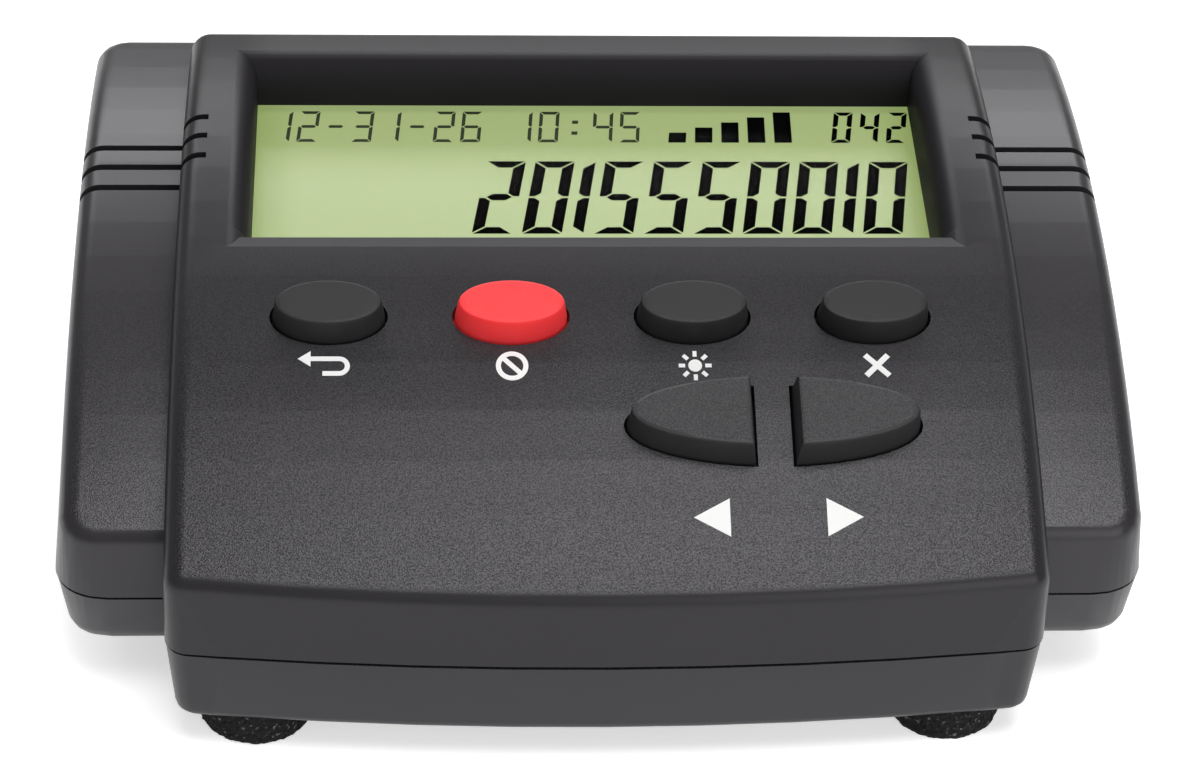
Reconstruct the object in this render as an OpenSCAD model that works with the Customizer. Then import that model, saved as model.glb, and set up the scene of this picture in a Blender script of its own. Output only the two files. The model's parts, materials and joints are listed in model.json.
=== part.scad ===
// Desktop caller display box: two-piece moulded housing with a raised core and two lower wings,
// a deep display window, six keys, two telephone jacks at the back and a battery bay underneath.
// Millimetres, front towards -Y, +Z up, origin on the table under the middle of the body.

/* [Housing] */
// Overall width at the seam between the shells
body_w = 119.2; // [114:0.2:130]
// Overall depth, from the bowed front to the back wall
body_d = 92.8; // [90:0.2:100]
// Overall height, at the top of the dome
body_h = 42.3; // [41:0.1:45]
// Room between the display holder and the core's side walls
core_room = 1.45; // [1.2:0.05:3]
// Distance from the middle of the keypad to the display holder
keypad_run = 21.35; // [20.5:0.05:24]
// Distance from the display holder to the back wall
back_room = 10.15; // [9:0.05:14]
// Wall thickness of both shells
wall = 2; // [1.6:0.1:2.4]
// Height of the seam between the shells
seam_z = 13.7; // [13:0.1:15]
// Visible gap at the seam
seam_gap = 0.35; // [0.2:0.05:0.6]
// Depth of the seam gap
seam_depth = 0.9; // [0.5:0.1:1.2]
// Radius of the domed top, front to back
dome_r = 130; // [110:1:200]
// Height of the top edge at the front of the core
crease_z = 21.7; // [20:0.1:24]
// How far the top edge at the front lies behind the seam
crease_set = 1.4; // [0.8:0.1:2.5]
// How far the core's top edge at the back lies in front of the back wall
core_back_set = 6.5; // [4:0.1:7]
// Bow of the core's front at the seam, middle against corners
bow = 2.9; // [1:0.1:4]
// Bow of the core's front at the top edge
top_bow = 1.8; // [1:0.1:3]
// Radius of the core's top edges
edge_r = 2.4; // [2:0.1:3.5]
// Radius of the core's upright front corners
core_corner_r = 6.5; // [3:0.5:8]
// Inward slope of the core's sides, at the top
core_draft = 0.1; // [0:0.1:1]
// Inward slope of the core's sides below the seam
low_draft = 0.7; // [0.3:0.1:1.2]
// Radius of the core's bottom edges
bottom_r = 1.2; // [1:0.1:3]

/* [Wings] */
// Width of each wing beside the core, at the seam
wing_w = 12.2; // [11:0.1:15]
// Distance of the wings' front behind the core's front, at the seam
wing_set = 12.1; // [10:0.1:16]
// Lean of the wings' front, from the seam to the top edge
wing_lean = 0.6; // [0.2:0.1:1.5]
// Height of the wings' top edge at the front
wing_front_z = 21.5; // [20:0.1:23]
// Depth of the wings' dome line at the back wall below the top of the core
wing_drop = 5.7; // [5:0.1:7]
// Radius of the wings' domed top, front to back
wing_r = 120; // [110:1:140]
// Height of the wings' underside above the core's underside
wing_rise = 1.8; // [1:0.1:3]
// Radius of the wings' top edges
wing_edge_r = 2.5; // [2:0.1:3.5]
// Radius of the wings' upright corners
wing_corner_r = 4; // [4:0.1:7]
// Radius of the wings' bottom edges
wing_bottom_r = 3.4; // [3:0.1:5]
// Inward slope of the wings' sides, at the top
wing_draft = 0.5; // [0:0.1:1.2]
// Inward slope of the wings' sides below the seam
wing_low_draft = 0.8; // [0.3:0.1:1.2]
// Number of decorative grooves on each side
groove_n = 3; // [1:1:4]
// Spacing of the grooves
groove_pitch = 3.65; // [2.5:0.05:4]
// Width of a groove
groove_w = 1; // [0.6:0.1:1.2]
// Depth of a groove
groove_deep = 0.7; // [0.4:0.1:1]
// Distance of the middle of the grooves from the front
groove_d = 61.4; // [55:0.1:66]
// How far the grooves run down the wings' sides
groove_down = 6; // [4:0.5:9]
// Length of the short grooves on the core's edge
groove_core_l = 3; // [1.5:0.1:3.5]

/* [Feet] */
// Height of the feet below the housing
foot_h = 4; // [3:0.1:6]
// Diameter of a foot
foot_dia = 12.8; // [9:0.1:13.5]
// Depth of the seat that a foot is stuck into
foot_seat = 0.5; // [0.2:0.1:0.8]
// Distance of the feet from the core's sides
foot_side = 3; // [2.8:0.1:6]
// Distance of the front feet from the front
foot_front = 3.2; // [2.8:0.1:5]
// Distance of the rear feet from the back
foot_back = 3; // [2.8:0.1:5]

/* [Display] */
// Tilt of the display
display_tilt = 6; // [4:0.5:8]
// Depth of the lens below the dome, over the middle of the window
lens_deep = 8; // [7:0.1:9]
// Radius of the rolled side rims of the window
rim_r = 3.2; // [2:0.1:3.5]
// Radius of the rolled back rim of the window
back_rim_r = 5.5; // [4:0.1:6]
// Height of the upright back wall below its rim roll
back_wall_h = 1.5; // [1:0.1:2.5]
// How far the front wall of the window leans out, from the lens to its bevel
sill_run = 6; // [5.5:0.1:7]
// Width of the bevel along the front edge of the window
sill_bevel = 2.3; // [1:0.1:3]
// Slope of that bevel against the display
sill_fall = 14; // [8:1:25]
// Thickness of the lens
lens_t = 1; // [0.8:0.1:1.5]
// Thickness of the lcd panel
lcd_t = 2.6; // [2:0.1:3]
// Thickness of the back light panel
light_t = 2; // [1.5:0.1:3]
// How far the lcd panel reaches past the window at the sides
lcd_side = 1; // [0.8:0.1:1.2]
// How far the lcd panel reaches past the window at the front and back
lcd_end = 2.2; // [2:0.1:2.6]
// Width of the holder's rim at the sides
holder_rim = 3.5; // [3:0.1:3.6]
// Width of the holder's rim at the front and back
holder_end = 1.8; // [1.5:0.1:2.2]

/* [Keys] */
// Distance of the middle of the keypad from the front
keypad_d = 26; // [25:0.1:27]
// Distance of the key row from the middle of the keypad, up the slope
row_v = 7.2; // [6.8:0.1:7.4]
// Distance of the arrow keys from the middle of the keypad, down the slope
arrow_v = 7.1; // [6.8:0.1:7.6]
// Distance of the row's outer keys from the core's sides, to their middles
key_side = 17.4; // [17:0.1:19]
// Width of a key hole
key_w = 13; // [11:0.1:13.5]
// Height of a key hole, along the slope
key_h = 7.7; // [6.5:0.1:8]
// Width of the arrow pair's oval
arrow_w = 32.6; // [28:0.1:34]
// Height of the arrow pair's oval
arrow_h = 10.2; // [9:0.1:10.6]
// Bar between the two arrow holes
arrow_bar = 3.8; // [3:0.1:6]
// Distance of the middle of the arrow pair from the core's right side
arrow_side = 29.2; // [28:0.1:31]
// Height of the key tops above the dome
key_up = 3.1; // [2.5:0.1:4]
// Travel of a key
key_travel = 1.1; // [0.8:0.1:1.2]
// Gap around a key in its hole
key_gap = 0.35; // [0.25:0.05:0.5]
// Taper of a key, from its hole to its top, on each side
key_taper = 0.3; // [0.1:0.05:0.5]
// Radius of a key's stem
stem_r = 2; // [1.5:0.1:2.2]

/* [Boards] */
// Depth of the main board below the keypad face
board_deep = 9; // [8.6:0.1:9.6]
// Thickness of the main board
board_t = 1.2; // [1:0.1:1.6]
// Thickness of the line board
line_board_t = 1.6; // [1.2:0.1:1.6]
// Height of the line board above the floor
line_board_up = 2; // [1.5:0.1:3]
// Spacing of the two jacks
jack_pitch = 32; // [28:1:40]
// Width of a jack
jack_w = 13.4; // [12.8:0.1:14]
// Height of a jack
jack_h = 11.8; // [11.5:0.1:12.5]
// Length of a jack
jack_l = 16; // [14.5:0.5:17]

/* [Batteries] */
// Diameter of a cell
cell_dia = 10.5; // [10.1:0.1:10.5]
// Length of a cell, with its nub
cell_l = 44.5; // [43.3:0.1:44.5]
// Number of cells side by side
cell_n = 3; // [2:1:3]
// Distance of the bay from the front
bay_front = 20.5; // [19.5:0.1:21.5]
// Thickness of the battery door
door_t = 1.6; // [1.4:0.1:1.8]
// Gap around the battery door
door_gap = 0.4; // [0.3:0.05:0.5]

/* [Screws] */
// Radius of the housing screws
screw_r = 1.25; // [1:0.05:1.5]
// Distance of the housing screws from the wings' outer sides
screw_in = 8; // [7.5:0.1:8.5]
// Distance of the front housing screws from the front
screw_front = 22; // [20:0.5:26]
// Distance of the rear housing screws from the back
screw_back = 10; // [8:0.5:14]
// Radius of the small board screws
small_screw_r = 0.85; // [0.7:0.05:1]

/* [Hidden] */

$fn = 48;
// Segments of the round edges that are blended by hulls, outside and inside
hull_fn = 32;
inner_fn = 16;
// Stations along the dome
dome_steps = 14;
// Segments of a bowed front edge, and of a rounded corner in an outline
bow_steps = 8;
corner_steps = 6;
// Segments of an oval
oval_steps = 40;
// Thickness of the slices that a hull joins
slice = 0.02;
// How far a cut runs past the face it opens
past = 1;
// How far the two halves of the body run past the seam before they are trimmed
seam_over = 0.4;
// Smallest radius left on an inner edge
least_r = 0.6;
// Clearance of a pilot hole and of a free hole round a screw
pilot_gap = 0.05;
free_gap = 0.25;
// General clearance between pieces that stay apart
clear = 0.3;

// The core takes the width between the wings, and its top edge ends in front of the back wall
core_w = body_w - 2 * wing_w;
core_back = body_d - core_back_set;

// The display holder takes the room behind the keypad, and holds the lcd; the window shows most of the lcd
lcd_gap = 0.1;
holder_gap = 0.25;
holder_w = core_w - 2 * wall - 2 * core_room;
holder_h = body_d - keypad_d - keypad_run - back_room;
display_d = keypad_d + keypad_run + holder_h / 2;
lcd_w = holder_w - 2 * holder_rim - 2 * holder_gap;
lcd_h = holder_h - 2 * holder_end - 2 * holder_gap;
window_w = lcd_w - 2 * lcd_side;
window_h = lcd_h - 2 * lcd_end;
half_h = window_h / 2;
stack_t = lens_t + lcd_gap + lcd_t + light_t;

// Y of a point that lies d behind the front of the body
function at(d) = d - body_d / 2;

// Centre of the arc of radius r that rises from p to q, both [d, z], and bulges upwards
function arc_centre(p, q, r) =
    let (c = norm(q - p), u = (q - p) / c, h = sqrt(r * r - c * c / 4))
    (p + q) / 2 + h * [u[1], -u[0]];
function arc_z(c, r, d) = c[1] + sqrt(r * r - pow(d - c[0], 2));
function arc_slope(c, r, d) = asin((c[0] - d) / r);

// Centres of the core's dome, which starts at the front edge, and of the wings'
dome_c = let (z = body_h - dome_r) [crease_set + sqrt(pow(dome_r, 2) - pow(crease_z - z, 2)), z];
wing_front = wing_set + wing_lean;
wing_c = arc_centre([wing_front, wing_front_z], [body_d, body_h - wing_drop], wing_r);
wing_bottom_z = foot_h + wing_rise;
floor_z = foot_h + wall;

// Outline of a corner, round the point [x, y]
function corner(x, y, r, a) =
    [for (k = [1 : corner_steps]) let (t = a + 90 * k / corner_steps) [x + r * cos(t), y + r * sin(t)]];

// Plan outline: half width, front and back as distances from the front, bow and corner radii
function plan(hw, front, bow, fr, back, br) =
    let (fy = at(front + bow * pow((hw - fr) / hw, 2)) + fr)
    concat(
        [for (k = [0 : bow_steps])
            let (x = (hw - fr) * (2 * k / bow_steps - 1)) [x, at(front + bow * pow(x / hw, 2))]],
        corner(hw - fr, fy, fr, -90),
        [[hw, at(back) - br]],
        corner(hw - br, at(back) - br, br, 0),
        [[br - hw, at(back)]],
        corner(br - hw, at(back) - br, br, 90),
        [[-hw, fy]],
        [for (p = corner(fr - hw, fy, fr, 180)) if (p[0] < fr - hw - slice) p]
    );

function core_plan(i) =
    plan(core_w / 2 - i, i, bow, max(core_corner_r - i, least_r), body_d - i, max(edge_r - i, least_r));
function wing_plan(i) =
    plan(body_w / 2 - i, wing_set + i, 0, max(wing_corner_r - i, least_r), body_d - i,
        max(wing_corner_r - i, least_r));

// Thin slice of an outline at height z
module layer(z, points) translate([0, 0, z]) linear_extrude(slice) polygon(points);

// Segments of the edges of a body inset by i
function edge_fn(i) = i > 0 ? inner_fn : hull_fn;

// Ball with its middle at x, d behind the front and z up, on a body inset by i
module bead(i, x, d, z, r) translate([x, at(d), z]) sphere(r, $fn = edge_fn(i));

// Middle of a ball of radius r that touches the two faces meeting at d; n and m are their outward normals
function bead_d(d, n, m, r) = d - r * (n[0] + m[0]) / (1 + n * m);

// Distance of the front and back edge beads from the front, on an arc of radius arc_r
function front_bead(c, arc_r, d, lean, r) =
    let (t = arc_slope(c, arc_r, d)) bead_d(d, [-sin(t), cos(t)], [-cos(lean), sin(lean)], r);
function back_bead(c, arc_r, d, r) =
    let (t = arc_slope(c, arc_r, d)) bead_d(d, [-sin(t), cos(t)], [1, 0], r);

// Discs that carry a rounded edge of radius r along an arc, between two distances from the front
module edge_run(c, arc_r, i, r, x, from, to) {
    rho = arc_r - r;
    for (s = [-1, 1], k = [0 : dome_steps]) {
        t = asin((c[0] - from - (to - from) * k / dome_steps) / rho);
        translate([s * (x - r), at(c[0] - rho * sin(t)), c[1] + rho * cos(t)])
            rotate([t - 90, 0, 0])
                cylinder(h = slice, r = r, center = true, $fn = edge_fn(i));
    }
}

// Upper half of the raised core, inset by i
module core_upper(i) {
    r = max(edge_r - i, least_r);
    x = core_w / 2 - core_draft - i;
    lean = atan(crease_set / (crease_z - seam_z));
    arc_r = dome_r - i;
    from = front_bead(dome_c, arc_r, crease_set + i, lean, r);
    to = back_bead(dome_c, arc_r, core_back - i, r);
    hull() {
        layer(seam_z - seam_over, core_plan(i));
        for (k = [0 : bow_steps]) {
            u = 2 * k / bow_steps - 1;
            d = from + top_bow * u * u;
            bead(i, u * (x - r), d, arc_z(dome_c, arc_r - r, d), r);
        }
        for (s = [-1, 1]) bead(i, s * (x - r), to, arc_z(dome_c, arc_r - r, to), r);
        edge_run(dome_c, arc_r, i, r, x, from + top_bow, to);
    }
}

// Upper half of the wings, inset by i
module wing_upper(i) {
    r = max(wing_edge_r - i, least_r);
    x = body_w / 2 - wing_draft - i;
    round_r = max(wing_corner_r - i - r, least_r);
    lean = atan(wing_lean / (wing_front_z - seam_z));
    arc_r = wing_r - i;
    from = front_bead(wing_c, arc_r, wing_front + i, lean, r);
    to = back_bead(wing_c, arc_r, body_d - wing_draft - i, r);
    hull() {
        layer(seam_z - seam_over, wing_plan(i));
        for (s = [-1, 1], a = [0 : 30 : 90]) {
            d = from + round_r * (1 - sin(a));
            bead(i, s * (x - r - round_r * (1 - cos(a))), d, arc_z(wing_c, arc_r - r, d), r);
            e = to - round_r * (1 - sin(a));
            bead(i, s * (x - r - round_r * (1 - cos(a))), e, arc_z(wing_c, arc_r - r, e), r);
        }
        edge_run(wing_c, arc_r, i, r, x, from + round_r, to - round_r);
    }
}

// Lower half of the core, inset by i, with a rounded bottom edge
module core_lower(i) {
    r = max(bottom_r - i, least_r);
    hull() {
        layer(seam_z + seam_over, core_plan(i));
        for (a = [0 : 22.5 : 90]) {
            layer(foot_h + i + r * (1 - cos(a)), core_plan(i + low_draft + r * (1 - sin(a))));
        }
    }
}

// Lower half of the wings, inset by i, with a rounded bottom edge
module wing_lower(i) {
    r = max(wing_bottom_r - i, least_r);
    hull() {
        layer(seam_z + seam_over, wing_plan(i));
        for (a = [0 : 18 : 90]) {
            layer(wing_bottom_z + i + r * (1 - cos(a)), wing_plan(i + wing_low_draft + r * (1 - sin(a))));
        }
    }
}

// Slab that covers the whole body between two heights
module level(low, high) {
    translate([-body_w, -body_d, low]) cube([2 * body_w, 2 * body_d, high - low]);
}

// Frame of the keypad: tangent to the dome, x right, y up the slope, z out of the face
keypad_z = arc_z(dome_c, dome_r, keypad_d);
keypad_tilt = arc_slope(dome_c, dome_r, keypad_d);
module on_keypad() {
    translate([0, at(keypad_d), keypad_z]) rotate([keypad_tilt, 0, 0]) children();
}
// World [d, z] of a point [v, w] of the keypad frame
function keypad_point(v, w) =
    [keypad_d, keypad_z] + v * [cos(keypad_tilt), sin(keypad_tilt)]
    + w * [-sin(keypad_tilt), cos(keypad_tilt)];

// Frame of the display: on the lens, x right, y up the tilted display, z out of it
display_z = arc_z(dome_c, dome_r, display_d) - lens_deep;
module on_display() {
    translate([0, at(display_d), display_z]) rotate([display_tilt, 0, 0]) children();
}
// World [d, z] of a point [v, w] of the display frame
function display_point(v, w) =
    [display_d, display_z] + v * [cos(display_tilt), sin(display_tilt)]
    + w * [-sin(display_tilt), cos(display_tilt)];
// Height of the dome over the lens, at v up the display
dome_from_display = let (p = dome_c - [display_d, display_z], c = cos(display_tilt), s = sin(display_tilt))
    [p[0] * c + p[1] * s, p[1] * c - p[0] * s];
function rim_w(v) = arc_z(dome_from_display, dome_r, v);

// Profile in the d-z or v-w plane, extruded across the width
module across(width, points) rotate([90, 0, 90]) linear_extrude(width, center = true) polygon(points);

// Window: foot of the front bevel along the display, and its height over the lens
sill_v = -half_h - sill_run;
sill_w = rim_w(sill_v - sill_bevel) - sill_bevel * tan(sill_fall);
// Turn of the back rim's roll before it meets the dome
back_roll = 60;
roll_steps = 10;
// Height above the lens to which the window's cutter and block reach
window_reach = 3 * lens_deep;
// How far the side roll passes the dome, so that it meets it at a clear angle
roll_lift = 0.1;

// Front and back walls of the window, as a profile along the display
module window_ends() {
    bevel_l = sill_bevel + past;
    roll = [for (k = [0 : roll_steps])
        let (a = 180 - back_roll * k / roll_steps)
        [half_h + back_rim_r * (1 + cos(a)), back_wall_h + back_rim_r * sin(a)]];
    last = roll[roll_steps];
    across(body_w, concat(
        [[-half_h, -past], [-half_h, 0], [sill_v, sill_w],
            [sill_v - bevel_l, sill_w + bevel_l * tan(sill_fall)], [sill_v - bevel_l, window_reach],
            [last[0] + window_reach * cos(back_roll), window_reach],
            last + past * [sin(back_roll), cos(back_roll)]],
        [for (k = [roll_steps : -1 : 0]) roll[k]],
        [[half_h, -past]]
    ));
}

// Side walls of the window, rolled over into the dome: a ring turned about the dome's own axis
module window_sides() {
    a = window_w / 2;
    rho = dome_r + roll_lift - rim_r;
    side = concat(
        [[dome_r - 2 * lens_deep, a], [rho, a]],
        [for (k = [1 : roll_steps])
            let (t = 90 * k / roll_steps) [rho + rim_r * sin(t), a + rim_r * (1 - cos(t))]],
        [[dome_r + past, a + rim_r]]
    );
    n = len(side);
    translate([0, at(dome_c[0]), dome_c[1]])
        rotate([0, 90, 0])
            rotate_extrude($fn = 360)
                polygon(concat(side, [for (k = [n - 1 : -1 : 0]) [side[k][0], -side[k][1]]]));
}

module window_cut() {
    intersection() {
        on_display() window_ends();
        window_sides();
    }
}

// Solid left round the window, down to the lens
module window_block() {
    end = holder_h / 2;
    on_display() across(core_w, [
        [-end, 0], [-end - sill_run, sill_w], [-end - sill_run, window_reach],
        [end, window_reach], [end, 0]
    ]);
}

// Places of the small screws that hold the display and the main board
display_screw_x = lcd_w / 2 + holder_gap + holder_rim / 2;
display_screw_v = holder_h / 2 - 4;
display_screws = [for (s = [-1, 1], t = [-1, 1]) [s * display_screw_x, t * display_screw_v]];
board_gap = 1.25;
board_w = core_w - 2 * wall - 2 * board_gap;
board_low = -17.5;
board_high = 12;
board_post_r = 2.5;
board_posts = [for (s = [-1, 1], v = [board_low + 3, board_high - 3]) [s * (board_w / 2 - board_post_r), v]];
small_pilot_l = 4;
small_head_r = 2;
small_head_t = 1.3;

// Places of the feet, [x, d], and the gap round a foot in its seat
foot_r = foot_dia / 2;
foot_x = core_w / 2 - foot_side - foot_r;
feet_at = [for (s = [-1, 1], d = [foot_front + foot_r, body_d - foot_back - foot_r]) [s * foot_x, d]];
foot_gap = 0.1;

// Places of the housing screws, [x, d]
screw_x = body_w / 2 - screw_in;
housing_screw_at = [for (s = [-1, 1], d = [screw_front, body_d - screw_back]) [s * screw_x, d]];
boss_r = 3.4;
screw_head_r = 2.5;
screw_head_t = 2;
// Grip of a housing screw above the seam
screw_grip = 7;
screw_seat_z = wing_bottom_z + wall + 0.6;

// Keys: places in the keypad frame, widths and heights
function oval(w, h) =
    [for (k = [0 : oval_steps - 1]) let (a = 360 * k / oval_steps) [w / 2 * cos(a), h / 2 * sin(a)]];
// Right or left part (side 1 or -1) of an oval that a bar divides
function part_oval(w, h, bar, side) =
    let (top = acos(bar / w), n = oval_steps / 2)
    [for (k = [0 : n]) let (a = top * (2 * k / n - 1)) [side * w / 2 * cos(a), h / 2 * sin(a)]];
key_pitch = (core_w - 2 * key_side) / 3;
arrow_x = core_w / 2 - arrow_side;
function row_x(k) = key_pitch * (k - 1.5);
// Outline of key k, grown by g: 0 to 3 are the row, 4 and 5 the arrows
function key_outline(k, g) =
    k < 4 ? oval(key_w + 2 * g, key_h + 2 * g)
        : part_oval(arrow_w + 2 * g, arrow_h + 2 * g, arrow_bar - 2 * g, k == 4 ? -1 : 1);
function key_at(k) = k < 4 ? [row_x(k), row_v, 0] : [arrow_x, -arrow_v, 0];
function stem_at(k) = k < 4 ? [row_x(k), row_v, 0] : [arrow_x + (k == 4 ? -1 : 1) * arrow_w / 4, -arrow_v, 0];

// Flange under the shell: depth below the keypad face, thickness and reach past the key
flange_top = wall + 0.9;
flange_t = 1;
flange_out = 0.8;
// Rounding of a key's top edge
key_round = 0.5;
stem_end = board_deep - key_travel - clear;
mat_t = 1;
mat_dome_top = flange_top + flange_t + key_travel + clear;

mat_gap = 1.1;
mat_w = board_w - 4 * board_post_r - 2 * mat_gap;
mat_low = -12.5;
mat_high = board_high - 0.5;
// Width of the lcd's bare contact ledge
ledge = 2.6;
// How far the back light and the connector end inside the lcd's sides
light_side = 1;
connector_side = 3;

// Jacks and line board
line_board_z = floor_z + line_board_up;
line_top_z = line_board_z + line_board_t;
line_side = 7.4;
line_board_w = core_w - 2 * wall - 2 * line_side;
line_board_l = 24;
line_board_back = wall + 1.5;
line_board_d = body_d - line_board_back - line_board_l;
line_posts = [for (s = [-1, 1], d = [4, line_board_l - 4]) [s * (line_board_w / 2 - 4), line_board_d + d]];
line_post_r = 2.6;
line_pilot_l = 2.4;
jack_set = 0.4;
jack_d = body_d - jack_set - jack_l;
plug_w = 9.8;
plug_h = 6.8;
plug_l = 12.5;
latch_w = 6.2;
latch_h = 2;
plug_z = line_top_z + 3.6;
// Lowest point of the jacks' contacts
contact_z = plug_z + 4.5;

// Ribbon cables between the boards
ribbon_x = 15;
ribbon_w = 12;
ribbon_t = 0.5;
ribbon_sag = 2;
plug_block = [14, 3, 2];

// Battery bay
cell_pitch = cell_dia + 0.4;
// Room for the contacts at the flat end and at the nub of a cell
leaf_room = 4.8;
plate_room = 1.8;
nub_l = 0.9;
bay_l = cell_l + leaf_room + plate_room;
bay_w = cell_n * cell_pitch + 0.4;
bay_t = 1.5;
door_lip = 1;
door_top_z = foot_h + door_t;
cell_z = door_top_z + clear + cell_dia / 2;
bay_top_z = cell_z + cell_dia / 2 + clear;
door_front = bay_front - door_lip;
bay_roof_t = 1.4;
// Gap between the door and the ledge round the bay
door_seat = 0.05;
// The door's hooks lie over a thin lip of the floor, and the door turns about the edge of that lip
hook_lip = 0.7;
hook_z = foot_h + hook_lip;
hook_gap = 0.25;
hook_w = 8;
hook_x = 14;
hook_l = 2.4;
hook_t = 1.2;
hook_room = 4.2;
// Round bead of each hook, on the door's axis
pivot_r = 0.5;
// Bevel of the door's front edge, which lets it swing past the lip
door_bevel = 1.8;
// Catch rib near the door's back edge, and its gap to the bay's back wall
catch_w = 9;
catch_h = 1.8;
catch_t = 0.8;
catch_gap = 0.5;
// Finger recess behind the door
finger_r = 6;
finger_deep = 0.8;

// Telephone jack openings in both shells
module jack_cuts() {
    for (s = [-1, 1]) {
        translate([s * jack_pitch / 2 - jack_w / 2 - clear, at(jack_d), line_top_z - clear])
            cube([jack_w + 2 * clear, jack_l + 2 * past, jack_h + 2 * clear]);
    }
}

// Distance of groove k from the front
function groove_at(k) = groove_d + groove_pitch * (k - (groove_n - 1) / 2);

// Slabs that cut the grooves of the wings, from the core outwards and a little way down the side
module wing_grooves() {
    inside = core_w / 2 - core_draft;
    for (s = [-1, 1], k = [0 : groove_n - 1]) {
        low = arc_z(wing_c, wing_r, groove_at(k)) - groove_down;
        translate([s * (inside + body_w / 2), at(groove_at(k)), low + body_w / 2])
            cube([body_w, groove_w, body_w], center = true);
    }
}

// Slabs that cut the short grooves in the edge of the core
module core_grooves() {
    for (s = [-1, 1], k = [0 : groove_n - 1]) {
        low = arc_z(wing_c, wing_r, groove_at(k));
        translate([s * (core_w / 2 - core_draft), at(groove_at(k)), low + body_w / 2])
            cube([2 * groove_core_l, groove_w, body_w], center = true);
    }
}

module top_cavity() {
    difference() {
        union() {
            core_upper(wall);
            wing_upper(wall);
        }
        window_block();
        for (p = housing_screw_at) {
            translate([p[0], at(p[1]), seam_z - past]) cylinder(h = body_w, r = boss_r);
        }
        on_keypad() {
            for (p = board_posts) translate([p[0], p[1], -board_deep]) cylinder(h = body_w, r = board_post_r);
        }
    }
}

module top_shell() {
    color([0.26, 0.26, 0.27]) difference() {
        union() {
            core_upper(0);
            wing_upper(0);
        }
        level(-past, seam_z);
        top_cavity();
        window_cut();
        on_keypad() {
            for (k = [0 : 5]) {
                translate(key_at(k) + [0, 0, -flange_top])
                    linear_extrude(flange_top + key_up) polygon(key_outline(k, 0));
            }
            for (p = board_posts) {
                translate([p[0], p[1], -board_deep - past])
                    cylinder(h = small_pilot_l + past, r = small_screw_r + pilot_gap);
            }
        }
        on_display() {
            for (p = display_screws) {
                translate([p[0], p[1], -past])
                    cylinder(h = small_pilot_l + past, r = small_screw_r + pilot_gap);
            }
        }
        for (p = housing_screw_at) {
            translate([p[0], at(p[1]), seam_z - past])
                cylinder(h = screw_grip + clear + past, r = screw_r + pilot_gap);
        }
        difference() {
            wing_grooves();
            wing_upper(groove_deep);
        }
        difference() {
            core_grooves();
            core_upper(groove_deep);
        }
        jack_cuts();
    }
}
top_shell();

// Tabs of the bottom shell that stand inside the top shell's wall
tab_l = 10;
tab_t = 1.2;
tab_up = 2;
tab_gap = 0.15;
tab_d = [40, 60];

module seam_tabs() {
    for (s = [-1, 1], d = tab_d) {
        translate([s * (body_w / 2 - wall - tab_gap - tab_t / 2), at(d), seam_z])
            cube([tab_t, tab_l, 2 * tab_up], center = true);
        translate([s * (body_w / 2 - wall - tab_t / 2), at(d), seam_z - tab_up])
            cube([2 * tab_t, tab_l, tab_up], center = true);
    }
}

module bottom_cavity() {
    difference() {
        union() {
            core_lower(wall);
            wing_lower(wall);
        }
        for (p = housing_screw_at) translate([p[0], at(p[1]), 0]) cylinder(h = body_w, r = boss_r);
        for (p = line_posts) translate([p[0], at(p[1]), 0]) cylinder(h = line_board_z, r = line_post_r);
    }
}

// Groove round the outside, just under the seam
module seam_groove() {
    difference() {
        level(seam_z - seam_gap, seam_z + past);
        translate([0, 0, seam_z - past]) {
            linear_extrude(3 * past) polygon(core_plan(seam_depth));
            linear_extrude(3 * past) polygon(wing_plan(seam_depth));
        }
    }
}

module bay_walls() {
    low = foot_h + wall / 2;
    translate([-bay_l / 2 - bay_t, at(bay_front) - bay_t, low])
        cube([bay_l + 2 * bay_t, bay_w + 2 * bay_t, bay_top_z + bay_roof_t - low]);
}

// Axis of the door, in the middle of a hook
module at_pivot(side) {
    translate([side * hook_x, at(door_front), hook_z + hook_gap]) rotate([0, 90, 0]) children();
}

module bay_cuts() {
    translate([-bay_l / 2, at(bay_front), 0]) cube([bay_l, bay_w, bay_top_z]);
    translate([-bay_l / 2 - door_lip, at(door_front), 0])
        cube([bay_l + 2 * door_lip, bay_w + 2 * door_lip, door_top_z + door_seat]);
    for (s = [-1, 1]) {
        translate([s * hook_x - hook_w / 2 - clear, at(door_front) - hook_l - clear, hook_z])
            cube([hook_w + 2 * clear, hook_l + clear + door_lip + past, hook_room]);
        at_pivot(s) cylinder(h = hook_w + 2 * clear, r = pivot_r + hook_gap, center = true);
    }
    translate([0, at(door_front + bay_w + 2 * door_lip), 0]) cylinder(h = foot_h + finger_deep, r = finger_r);
}

module bottom_shell() {
    color([0.24, 0.24, 0.25]) difference() {
        union() {
            difference() {
                union() {
                    core_lower(0);
                    wing_lower(0);
                }
                level(seam_z, body_w);
                bottom_cavity();
                seam_groove();
            }
            bay_walls();
            seam_tabs();
        }
        bay_cuts();
        for (p = housing_screw_at) {
            translate([p[0], at(p[1]), 0]) {
                cylinder(h = screw_seat_z, r = screw_head_r + free_gap);
                cylinder(h = seam_z + past, r = screw_r + free_gap);
            }
        }
        for (p = line_posts) {
            translate([p[0], at(p[1]), line_board_z - line_pilot_l])
                cylinder(h = line_pilot_l + past, r = small_screw_r + pilot_gap);
        }
        for (p = feet_at) {
            translate([p[0], at(p[1]), 0]) cylinder(h = foot_h + foot_seat, r = foot_r + foot_gap);
        }
        jack_cuts();
    }
}
bottom_shell();

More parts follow.
